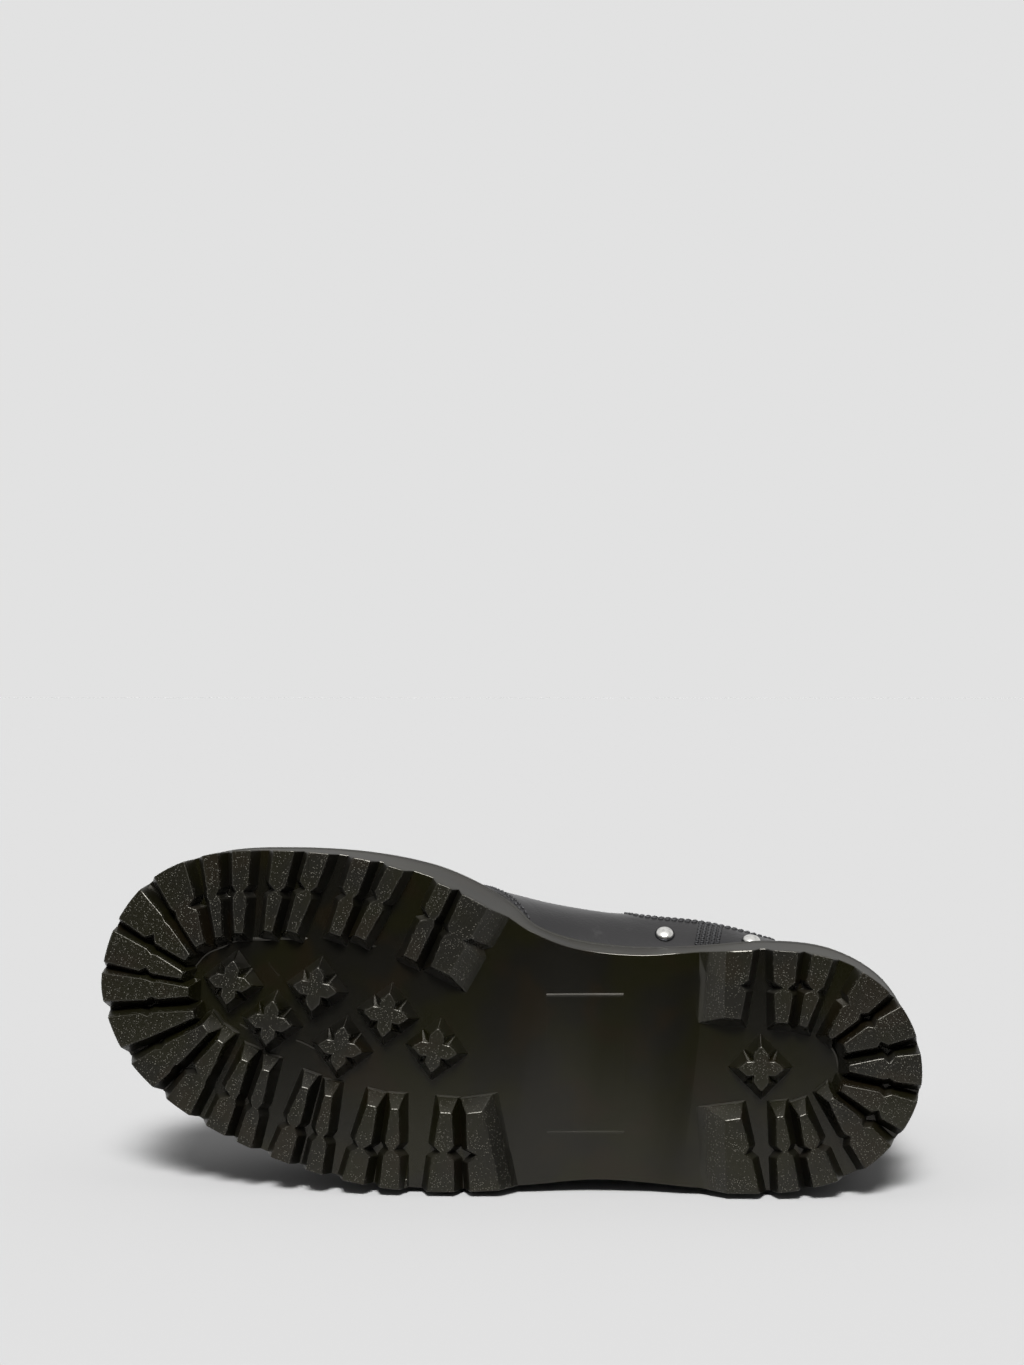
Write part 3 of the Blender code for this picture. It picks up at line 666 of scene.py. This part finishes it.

# Creases in the leather over the instep, the ankle's front and the heel, each along listed
# points (u, v, w) near the skin.
CREASES = (
    # width, depth, points
    (3.4, 0.75, ((190, 40, 70), (196, 28, 92), (199, 4, 101), (196, -24, 92), (190, -40, 70))),
    (3.0, 0.55, ((181, 36, 82), (186, 20, 101), (188, 2, 105), (184, -18, 101), (178, -38, 80))),
    (2.8, 0.50, ((205, 38, 72), (209, 22, 92), (210, 4, 97), (207, -16, 92), (202, -34, 78))),
    (3.8, 0.90, ((112, 38, 112), (134, 24, 124), (142, 2, 128), (134, -22, 124), (112, -38, 112))),
    (3.4, 0.70, ((104, 40, 122), (126, 26, 137), (133, 2, 141), (126, -24, 137), (104, -40, 122))),
    (3.2, 0.60, ((118, 38, 98), (142, 26, 113), (151, 2, 119), (142, -24, 113), (118, -38, 98))),
    (4.0, 0.70, ((52, 38, 98), (22, 28, 92), (3, 0, 90), (22, -28, 92), (52, -38, 98))),
    (3.6, 0.60, ((46, 36, 116), (22, 26, 111), (7, 0, 110), (22, -26, 111), (46, -36, 116))),
)


def last_point(row, angle):
    """A point of a section; angle 0 is its top or front point, and inner side comes next."""
    bottom_u, bottom_w, top_u, top_w, inner, outer, ridge, belly, low_inner, low_outer, high = row
    across, along = math.sin(angle), math.cos(angle)
    low = low_inner if across >= 0 else low_outer
    power = high if along >= 0 else low
    reach = abs(along) ** (2 / power) * (1 - belly if along >= 0 else -belly)
    side = abs(across) ** (2 / power) * (inner - ridge if across >= 0 else -(outer + ridge))
    share = belly + reach
    u = bottom_u + (top_u - bottom_u) * share
    return Vector((u, ridge + side, bottom_w + (top_w - bottom_w) * share + spring(u)))


def last_form(inset, steps, ring, above=0.0):
    """The last as a closed solid, drawn in by inset, with its top end moved up by above."""
    count = (len(LAST) - 1) * steps + 1
    rows = count if above else count - 1
    solid = bmesh.new()
    bmesh.ops.create_grid(solid, x_segments=ring, y_segments=rows, size=1)
    for vert in solid.verts:
        angle = math.pi * (vert.co.x + 1)
        row = round((vert.co.y + 1) / 2 * rows)
        rise = Vector((0, 0, above if row == count else 0))
        section = curve_point(LAST, min(row, count - 1) / steps, closed=False)
        vert.co = last_point(section, angle) + rise
    bmesh.ops.remove_doubles(solid, verts=solid.verts, dist=0.001)
    rims = [edge for edge in solid.edges if edge.is_boundary]
    bmesh.ops.holes_fill(solid, edges=rims, sides=0)
    bmesh.ops.triangulate(solid, faces=[face for face in solid.faces if len(face.verts) > 4])
    bmesh.ops.recalc_face_normals(solid, faces=solid.faces)
    solid.normal_update()
    lid = max(vert.co.z for vert in solid.verts)
    for vert, normal in [(vert, vert.normal.copy()) for vert in solid.verts] if inset else ():
        if above or vert.co.z < lid - 3:
            vert.co -= normal * inset
        else:
            vert.co -= Vector((normal.x, normal.y, 0)).normalized() * inset
    return solid


def crease_depth(point):
    """How far the leather sinks at a point: troughs with a low ridge along both sides."""
    depth = 0.0
    for width, deepest, knots in CREASES:
        nearest, share = 1e9, 0.0
        for index, (start, end) in enumerate(zip(knots, knots[1:])):
            start, end = Vector(start), Vector(end)
            along = min(max((point - start).dot(end - start) / (end - start).length_squared, 0), 1)
            distance = (start.lerp(end, along) - point).length
            if distance < nearest:
                nearest, share = distance, (index + along) / (len(knots) - 1)
        if nearest < 4 * width:
            fade = blend(share, 0.0, 0.3) * blend(share, 1.0, 0.7)
            trough = math.exp(-(nearest / width) ** 2)
            ridge = 0.45 * math.exp(-((nearest - 2 * width) / width) ** 2)
            depth += deepest * fade * (trough - ridge)
    return depth


def under_form(low, high):
    """What lies between two heights over the sole's top, and well past its edge."""
    solid = bmesh.new()
    bmesh.ops.create_cube(solid, size=1.0)
    for step in range(1, UNDER_STEPS):
        slice_at(solid, (step / UNDER_STEPS - 0.5, 0, 0), (1, 0, 0))
    for vert in solid.verts:
        u = UNDER_START + (vert.co.x + 0.5) * UNDER_SIZE[0]
        height = high if vert.co.z > 0 else low
        vert.co = Vector((u, vert.co.y * UNDER_SIZE[1], sole_top(u) + spring(u) + height))
    return solid


def gore_edge(share, outside):
    """A point (u, w) of the elastic's outline; share runs from -1 at its front to 1 at its back."""
    half = GORE_HALF_WIDTH + outside
    turn = math.pi / 2 * (1 - share)
    across = math.copysign(abs(math.cos(turn)) ** GORE_SQUARENESS, math.cos(turn))
    drop = (GORE_CURVE + outside) * abs(math.sin(turn)) ** GORE_SQUARENESS
    return GORE_CENTRE - half * across, GORE_BOTTOM + GORE_CURVE - drop


def gore_form(side):
    """A straight prism through one side of the shaft in the shape of the elastic."""
    corners = GORE_STEPS + 3
    solid = bmesh.new()
    bmesh.ops.create_cone(solid, cap_ends=True, segments=corners, radius1=1, radius2=1, depth=1)
    for vert in solid.verts:
        step = round(math.atan2(vert.co.y, vert.co.x) / math.tau * corners) % corners
        if step <= GORE_STEPS:
            u, w = gore_edge(step / GORE_STEPS * 2 - 1, 0)
        else:
            end = -1 if step == GORE_STEPS + 1 else 1
            u, w = GORE_CENTRE + end * (GORE_HALF_WIDTH + HOLE_FLARE), HOLE_TOP
        vert.co = Vector((u, side * (SIDE_REACH if vert.co.z > 0 else HOLE_START), w))
    return solid


LEATHER_DARK = (0.0032, 0.0030, 0.0033)
LEATHER_LIGHT = (0.0050, 0.0047, 0.0049)
LEATHER_SCUFF = (0.018, 0.0175, 0.0175)


def leather(name):
    """Polished leather with fine pores and faint scuffs."""
    finish = Finish(name, IOR=1.5)
    place, _ = finish.axes()
    clouds = finish.noise(place, 30, 3)
    colour = finish.mix(clouds.clip(0.35, 0.65), LEATHER_DARK, LEATHER_LIGHT)
    soft = finish.noise(place, 5.0, 3)
    scuffs = finish.noise(place, 9, 5, rough=0.7).clip(0.60, 0.72)
    grain = finish.bump(finish.cells(place, 0.9), 0.05)
    finish.feed(Base_Color=finish.mix(scuffs * 0.25, colour, LEATHER_SCUFF),
                Roughness=clouds * 0.10 + (scuffs * 0.08 + 0.30),
                Normal=finish.bump(soft, 0.12, over=grain))
    return finish.material


def textile(name, dark, light, pitch):
    """Woven cloth with a thread every pitch millimetres both ways."""
    finish = Finish(name, Roughness=0.9, IOR=1.4)
    place, (u, v, w) = finish.axes()
    turn = math.tau / pitch
    weave = ((u + v) * turn).math("SINE") * (w * turn).math("SINE")
    clouds = finish.noise(place, 12, 2)
    finish.feed(Base_Color=finish.mix((weave * 0.35 + clouds).clip(0.2, 0.9), dark, light),
                Normal=finish.bump(weave, 0.12))
    return finish.material


skin_leather = leather("smooth_leather_grain")
lining = textile("lining_cloth", (0.018, 0.017, 0.017), (0.040, 0.039, 0.038), 0.9)

outer_form = last_form(0, 6, 168)
sunk = [(vert, vert.normal.copy(), crease_depth(vert.co)) for vert in outer_form.verts]
for vert, normal, depth in sunk:
    vert.co -= normal * depth
outer_form.normal_update()
skin = BVHTree.FromBMesh(outer_form)


def on_skin(point, height=0.0):
    """The leather's nearest point, raised by a height, and its normal there."""
    spot, normal, _, _ = skin.find_nearest(point)
    return spot + normal * height, normal


def from_side(u, w, side):
    """The point of the leather seen from one side at u and w."""
    spot, _, _, _ = skin.ray_cast(Vector((u, side * SIDE_REACH, w)), Vector((0, -side, 0)))
    return spot


def make_upper():
    """Hollows the last, then opens it below and at both sides."""
    upper = form("upper", outer_form)
    upper.data.materials.append(skin_leather)
    hollow = form("hollow", last_form(WALL, 3, 84, COLLAR_OVERRUN))
    hollow.data.materials.append(lining)
    openings = merge([under_form(UNDER_DEPTH, GAP), gore_form(1), gore_form(-1)])
    holes = form("holes", openings)
    holes.data.materials.append(skin_leather)
    shell = form("shell", cut(upper, hollow))
    shell.data.materials.append(skin_leather)
    shell.data.materials.append(lining)
    shell = cut(shell, holes, self_crossing=True)
    piece = finish_piece("leather_upper", shell, (skin_leather, lining))
    weighted = piece.modifiers.new("even_shading", "WEIGHTED_NORMAL")
    weighted.keep_sharp = True
    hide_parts("upper")


make_upper()

# ------------------------------------------------
# The elastic side panels: black ribbed webbing 1.3 mm thick, 52 mm wide, sewn behind the folded
# edges of the leather and running from 60 mm above the tread up to the collar.
GORE_THICKNESS = 1.3
RIBS = 36
RIB_RISE = 0.28
GORE_ROWS = 36
COLLAR_BACK_W = 190.0
COLLAR_FRONT_W = 193.5
COLLAR_BACK = 7.5
COLLAR_DROP = 0.6
GORE_TUCK = 0.4
GORE_DEPTH = 0.75
SKIN_TOP = 188.5
CROSSING = 0.8
WEBBING_DARK = (0.008, 0.008, 0.009)
WEBBING_LIGHT = (0.019, 0.019, 0.020)


def collar_height(u):
    """Height of the collar's level edge."""
    share = (u - COLLAR_BACK) / (COLLAR_FRONT - COLLAR_BACK)
    return COLLAR_BACK_W + (COLLAR_FRONT_W - COLLAR_BACK_W) * share


def elastic(name):
    """Webbing: the ribs are in the mesh, the rubber threads' tiny crossings in the bump."""
    finish = Finish(name, Roughness=0.8, IOR=1.45)
    place, (_, _, w) = finish.axes()
    threads = (w * (math.tau / CROSSING)).math("SINE")
    fuzz = finish.noise(place, 0.5, 2)
    colour = finish.mix((fuzz + threads * 0.15).clip(0.2, 0.8), WEBBING_DARK, WEBBING_LIGHT)
    finish.feed(Base_Color=colour, Normal=finish.bump(threads * 0.5 + fuzz, 0.10))
    return finish.material


webbing = elastic("elastic_webbing")


def make_gore(name, side):
    """One panel, a little under the leather's skin."""
    columns = RIBS * 6
    sheet = bmesh.new()
    bmesh.ops.create_grid(sheet, x_segments=columns, y_segments=GORE_ROWS, size=1)
    for vert in sheet.verts:
        u, bottom = gore_edge(vert.co.x, GORE_TUCK)
        rib = math.cos(math.pi * (vert.co.x + 1) * RIBS)
        top = collar_height(u) - COLLAR_DROP
        w = bottom + (top - bottom) * (vert.co.y + 1) / 2
        spot, normal = on_skin(from_side(u, min(w, SKIN_TOP), side))
        outward = Vector((normal.x, normal.y, 0)).normalized()
        vert.co = Vector((spot.x, spot.y, w)) - outward * (GORE_DEPTH - RIB_RISE * rib)
    bmesh.ops.recalc_face_normals(sheet, faces=sheet.faces)
    if sum(face.normal.y * side for face in sheet.faces) < 0:
        bmesh.ops.reverse_faces(sheet, faces=sheet.faces)
    piece = finish_piece("webbing_" + name, sheet, webbing)
    thick = piece.modifiers.new("thickness", "SOLIDIFY")
    thick.thickness = GORE_THICKNESS * MM
    thick.offset = -1
    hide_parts("gore_" + name)


for gore_side, side_name in ((1, "inner"), (-1, "outer")):
    make_gore(side_name, gore_side)

# ------------------------------------------------
# Seams: folded leather edges, each with its rows of black thread. The quarters overlap the vamp
# low over the instep, a back strip covers the heel seam, and every elastic has a double row.
STITCH_PITCH = 2.5
STITCH_LENGTH = 2.2
THREAD_WIDTH = 1.0
THREAD_RISE = 0.60
LAYER_RISE = 0.34
THREAD_SINK = 0.05
THREAD_DARK = (0.0035, 0.0035, 0.0040)
THREAD_LIGHT = (0.011, 0.011, 0.012)
PATH_DROP = 2.5

# Where the quarter's edge crosses the sections of the last: turn round the section, section.
VAMP_SEAM = (
    (138, 9.56), (128, 9.50), (110, 9.28), (92, 8.95),
    (72, 8.68), (48, 8.50), (24, 8.46), (0, 8.45),
)
VAMP_STEPS = 10
VAMP_SHIFTS = (-1.3, -2.9)
GORE_SHIFTS = (0.7, 2.2)

# The back strip: how it stands across, and where it starts and steps up the heel.
STRIP_OUTLINE = (
    (-7.2, -0.3), (-7.0, 0.25), (-6.5, 0.55), (-3, 0.6), (0, 0.62),
    (3, 0.6), (6.5, 0.55), (7.0, 0.25), (7.2, -0.3),
)
STRIP_START = 50
STRIP_STEP = 3.45
STRIP_STEPS = 40
STRIP_REACH = 60
STRIP_SHIFTS = (-5.4, 5.4)


def thread(name):
    finish = Finish(name, Roughness=0.55, IOR=1.5)
    place, _ = finish.axes()
    finish.feed(Base_Color=finish.mix(finish.noise(place, 1.2, 2), THREAD_DARK, THREAD_LIGHT),
                Normal=finish.bump(finish.noise(place, 0.35, 2), 0.15))
    return finish.material


black_thread = thread("black_thread")


def spaced(path, pitch):
    """Points every pitch along a path, each with the path's direction there."""
    spots = []
    travelled = 0.0
    for start, end in zip(path, path[1:]):
        length = (end - start).length
        while len(spots) * pitch + pitch / 2 <= travelled + length:
            along = (len(spots) * pitch + pitch / 2 - travelled) / length
            spots.append((start.lerp(end, along), (end - start).normalized()))
        travelled += length
    return spots


def stitch(solid, spot, normal, along, length=STITCH_LENGTH, width=THREAD_WIDTH):
    """One stitch: a small bead of thread half sunk in the leather."""
    across = normal.cross(along).normalized()
    along = across.cross(normal).normalized()
    turn = Matrix((along, across, normal)).transposed().to_4x4()
    size = Matrix.Diagonal((length / 2, width / 2, THREAD_RISE, 1))
    place = Matrix.Translation(spot + normal * THREAD_SINK) @ turn @ size
    bmesh.ops.create_uvsphere(solid, u_segments=8, v_segments=4, radius=1, matrix=place)


def sew(solid, path, shift=0.0):
    """A row of stitches beside a path that lies on the skin."""
    for spot, along in spaced(path, STITCH_PITCH):
        _, normal = on_skin(spot)
        across = along.cross(normal).normalized()
        place, normal = on_skin(spot + across * shift, LAYER_RISE)
        stitch(solid, place, normal, along)


def overlay(path, outline):
    """A layer on the skin; its outline is (across, height) pairs along the path."""
    grid = bmesh.new()
    columns, rows = len(outline) - 1, len(path) - 1
    bmesh.ops.create_grid(grid, x_segments=columns, y_segments=rows, size=1)
    for vert in grid.verts:
        column = round((vert.co.x + 1) / 2 * columns)
        row = round((vert.co.y + 1) / 2 * rows)
        along = path[min(row + 1, rows)] - path[max(row - 1, 0)]
        _, normal = on_skin(path[row])
        across, height = outline[column]
        vert.co, _ = on_skin(path[row] + along.cross(normal).normalized() * across, height)
    bmesh.ops.recalc_face_normals(grid, faces=grid.faces)
    return grid


def seam_path():
    """The quarter's edge, from the sole's outer side over the instep to its inner side."""
    path = []
    knots = [(-turn, place) for turn, place in VAMP_SEAM[:-1]] + [*VAMP_SEAM[::-1]]
    for step in range((len(knots) - 1) * VAMP_STEPS + 1):
        turn, place = curve_point(knots, step / VAMP_STEPS, closed=False)
        spot, _ = on_skin(last_point(curve_point(LAST, place, closed=False), math.radians(turn)))
        path.append(spot)
    return path


def gore_path(side, outside):
    """Round an elastic at a distance outside its edge, from the collar to the collar."""
    top = collar_height(GORE_CENTRE) - PATH_DROP
    low = GORE_BOTTOM + GORE_CURVE
    front, back = gore_edge(-1, outside)[0], gore_edge(1, outside)[0]
    shares = [step / GORE_STEPS for step in range(GORE_STEPS + 1)]
    outline = [(front, top + (low - top) * share) for share in shares[:-1]]
    outline += [gore_edge(-math.cos(math.pi * step / (2 * GORE_STEPS)), outside)
                for step in range(2 * GORE_STEPS + 1)]
    outline += [(back, low + (top - low) * share) for share in shares[1:]]
    return [from_side(u, w, side) for u, w in outline]


# A folded edge in section, as (across, height): a raised fold that thins out away from it.
EDGE_OUTLINE = (
    (-0.5, -0.9), (-0.55, -0.2), (-0.4, 0.28), (0.0, 0.45),
    (0.9, 0.42), (3.0, 0.32), (7.0, 0.12), (9.5, -0.1),
)


def flip(outline):
    """The outline turned to the other side of its path."""
    return [(-across, height) for across, height in outline][::-1]


def make_seams():
    edges = []
    threads = bmesh.new()
    vamp = seam_path()
    edges.append(overlay(vamp, flip(EDGE_OUTLINE)))
    for shift in VAMP_SHIFTS:
        sew(threads, vamp, shift)
    for side in (1, -1):
        outline = EDGE_OUTLINE if side > 0 else flip(EDGE_OUTLINE)
        edges.append(overlay(gore_path(side, 0), outline))
        for outside in GORE_SHIFTS:
            sew(threads, gore_path(side, outside))
    back = []
    for step in range(STRIP_STEPS):
        behind = Vector((-STRIP_REACH, 0, STRIP_START + step * STRIP_STEP))
        spot, _, _, _ = skin.ray_cast(behind, Vector((1, 0, 0)))
        back.append(spot)
    edges.append(overlay(back, STRIP_OUTLINE))
    for shift in STRIP_SHIFTS:
        sew(threads, back, shift)
    finish_piece("seam_edges", merge(edges), skin_leather)
    finish_piece("seam_thread", threads, black_thread)


make_seams()


# The side seam under each elastic is closed by a bar tack between the two studs: five columns of
# zigzag thread.
TACK_U = 77.4
TACK_TOP = 58.8
TACK_BOTTOM = 46.4
TACK_PITCH = 1.9
TACK_LEAN = 1.1
TACK_ROWS = 17
TACK_SLANTS = (-0.4, 0.72)
TACK_LIFT = 0.12
TACK_LENGTH = 1.7
TACK_WIDTH = 0.85


def make_tacks():
    solid = bmesh.new()
    for side in (1, -1):
        for column in range(-2, 3):
            for row in range(TACK_ROWS):
                share = row / (TACK_ROWS - 1)
                u = TACK_U + column * TACK_PITCH + TACK_LEAN * share
                w = TACK_TOP + (TACK_BOTTOM - TACK_TOP) * share
                spot, normal = on_skin(from_side(u, w, side), TACK_LIFT)
                along = Vector((1, 0, TACK_SLANTS[row % 2]))
                stitch(solid, spot, normal, along, TACK_LENGTH, TACK_WIDTH)
    finish_piece("bar_tacks", solid, black_thread)


make_tacks()


# The collar's top edge is bound with a narrow leather tape, which covers the end of the lining and
# runs over the elastics too.
BINDING_WIDTH = 1.9
BINDING_RISE = 1.5
BINDING_DROP = 0.4
BINDING_SIDES = 12
RIM_POINTS = 120


def make_binding():
    rim = [last_point(LAST[-1], math.tau * step / RIM_POINTS) for step in range(RIM_POINTS)]
    middle = sum(spot.x for spot in rim) / RIM_POINTS
    path = []
    for spot in rim:
        inward = Vector((middle - spot.x, -spot.y, 0)).normalized()
        path.append(spot + inward * WALL / 2 + Vector((0, 0, -BINDING_DROP)))
    up = Vector((0, 0, 1))
    outline = round_outline(BINDING_WIDTH, BINDING_RISE, BINDING_SIDES)
    tape = sweep(path, [up] * len(path), outline, closed=True)
    finish_piece("collar_binding", tape, skin_leather)


make_binding()

# ------------------------------------------------
# Studs: plated steel domes 6.5 mm across over a blackened ring, riveted through both quarters,
# two on each side below the elastic.
STUD_DIAMETER = 6.5
STUD_RISE = 1.7
STUD_CENTRE = 78.2
STUD_SPACING = 16.0
STUD_HEIGHT = 50.2
STUD_LIFT = 0.3
STUD_FACETS = 28
RING_GAP = 0.1
RING_WIDTH = 0.8
RING_RISE = 0.45


def metal(name, colour, rough):
    finish = Finish(name, Metallic=1.0)
    place, _ = finish.axes()
    wear = finish.noise(place, 1.6, 3)
    worn = tuple(0.7 * share for share in colour)
    finish.feed(Base_Color=finish.mix(wear.clip(0.35, 0.7), colour, worn),
                Roughness=wear * 0.12 + rough, Normal=finish.bump(wear, 0.02))
    return finish.material


steel = metal("plated_steel", (0.84, 0.83, 0.80), 0.24)
blackened = metal("blackened_steel", (0.030, 0.030, 0.032), 0.30)


def make_stud(name, u, side):
    """A dome and the ring round its foot."""
    spot, normal = on_skin(from_side(u, STUD_HEIGHT, side))
    turn = normal.to_track_quat("Z", "Y").to_matrix().to_4x4()
    dome = bmesh.new()
    size = Matrix.Diagonal((STUD_DIAMETER / 2, STUD_DIAMETER / 2, STUD_RISE, 1))
    place = Matrix.Translation(spot + normal * STUD_LIFT) @ turn @ size
    bmesh.ops.create_uvsphere(dome, u_segments=STUD_FACETS, v_segments=STUD_FACETS // 2, radius=1,
                              matrix=place)
    piece = finish_piece("rivet_" + name, dome, steel)
    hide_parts("stud_" + name)
    points = []
    for step in range(STUD_FACETS):
        angle = math.tau * step / STUD_FACETS
        away = turn.to_3x3() @ Vector((math.cos(angle), math.sin(angle), 0))
        points.append(spot + away * (STUD_DIAMETER / 2 + RING_GAP))
    ring = sweep(points, [normal] * STUD_FACETS, round_outline(RING_WIDTH, RING_RISE),
                 closed=True)
    finish_piece("ring_" + name, ring, blackened)


for stud_side, side_name in ((1, "inner"), (-1, "outer")):
    for offset, end_name in ((STUD_SPACING, "front"), (-STUD_SPACING, "rear")):
        make_stud(side_name + "_" + end_name, STUD_CENTRE + offset, stud_side)

# ------------------------------------------------
# The insole: a 3 mm board under a thin cloth sock, as wide as the last inside the lining. Its shape
# is the frame's own, and only the cloth is added here.
sock = textile("sock_cloth", (0.020, 0.019, 0.018), (0.048, 0.046, 0.043), 1.4)
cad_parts["insole"].data.materials[0] = sock

# ------------------------------------------------
# Floor, light and camera. Three broad suns from the front cast one wide soft shadow; a lamp box
# above the camera and a black card below it are only seen as reflections.
PALE = 0.76
FLOOR_SHADE = 0.22
FLOOR_SIZE = 30
SUN_FALL = 1.1
SUN_SPREAD = (-0.1, 0.0, 0.1)
SUN_ANGLE = math.radians(14)
BOX_SIZE = (0.7, 0.3)
BOX_PLACE = Vector((0.0, -1.20, 1.15))
BOX_RADIANCE = 60.0
CARD_SIDE = 0.9
CARD_PLACE = -0.80
CARD_HEIGHTS = (0.001, 0.45)
CARD_SHADE = (0.012, 0.012, 0.010, 1)
LENS = 70
CAMERA_PLACE = (0.0501, -1.0253, 0.1804)
CAMERA_TURN = math.radians(3)
stage = bpy.context.scene
stage.view_settings.view_transform = "Standard"


def sheet(name, size, material):
    """Part of the stage; size is half its side, in metres."""
    flat = bmesh.new()
    bmesh.ops.create_grid(flat, x_segments=1, y_segments=1, size=size)
    mesh = to_mesh(name, flat)
    mesh.materials.append(material)
    thing = put_in(name, mesh)
    return thing


paper = Finish("pale_floor", Roughness=1.0, Specular_IOR_Level=0.0,
               Base_Color=(FLOOR_SHADE, FLOOR_SHADE, FLOOR_SHADE, 1))
sheet("floor", FLOOR_SIZE, paper.material)

black_card = Finish("black_card", Roughness=1.0, Specular_IOR_Level=0.0, Base_Color=CARD_SHADE)
card = sheet("black_card", 1.0, black_card.material)
for vert in card.data.vertices:
    vert.co = Vector((vert.co.x * CARD_SIDE, CARD_PLACE, CARD_HEIGHTS[1 if vert.co.y > 0 else 0]))
card.visible_camera = False
card.visible_diffuse = False
card.visible_shadow = False
card.visible_transmission = False

world = bpy.data.worlds.new("studio")
stage.world = world
world.use_nodes = True
sky = world.node_tree.nodes["Background"]
sky.inputs["Color"].default_value = (PALE, PALE, PALE, 1)

for lean in SUN_SPREAD:
    fall = Vector((lean, SUN_FALL, -1))
    sun = bpy.data.lights.new("soft_sun", "SUN")
    sun.angle = SUN_ANGLE
    sun.energy = PALE * (1 / FLOOR_SHADE - 1) * math.pi * fall.length / len(SUN_SPREAD)
    lamp = put_in("soft_sun", sun)
    lamp.rotation_euler = fall.to_track_quat("-Z", "Y").to_euler()
    lamp.visible_glossy = False

box_lamp = bpy.data.lights.new("lamp_box", "AREA")
box_lamp.shape = "RECTANGLE"
box_lamp.size, box_lamp.size_y = BOX_SIZE
box_lamp.energy = BOX_RADIANCE * math.pi * BOX_SIZE[0] * BOX_SIZE[1]
lamp_box = put_in("lamp_box", box_lamp)
lamp_box.location = BOX_PLACE
lamp_box.rotation_euler = (-BOX_PLACE).to_track_quat("-Z", "Y").to_euler()
lamp_box.visible_diffuse = False

camera = bpy.data.cameras.new("camera")
camera.lens = LENS
view = put_in("camera", camera)
view.location = CAMERA_PLACE
view.rotation_euler = (math.radians(90), 0, CAMERA_TURN)
stage.camera = view
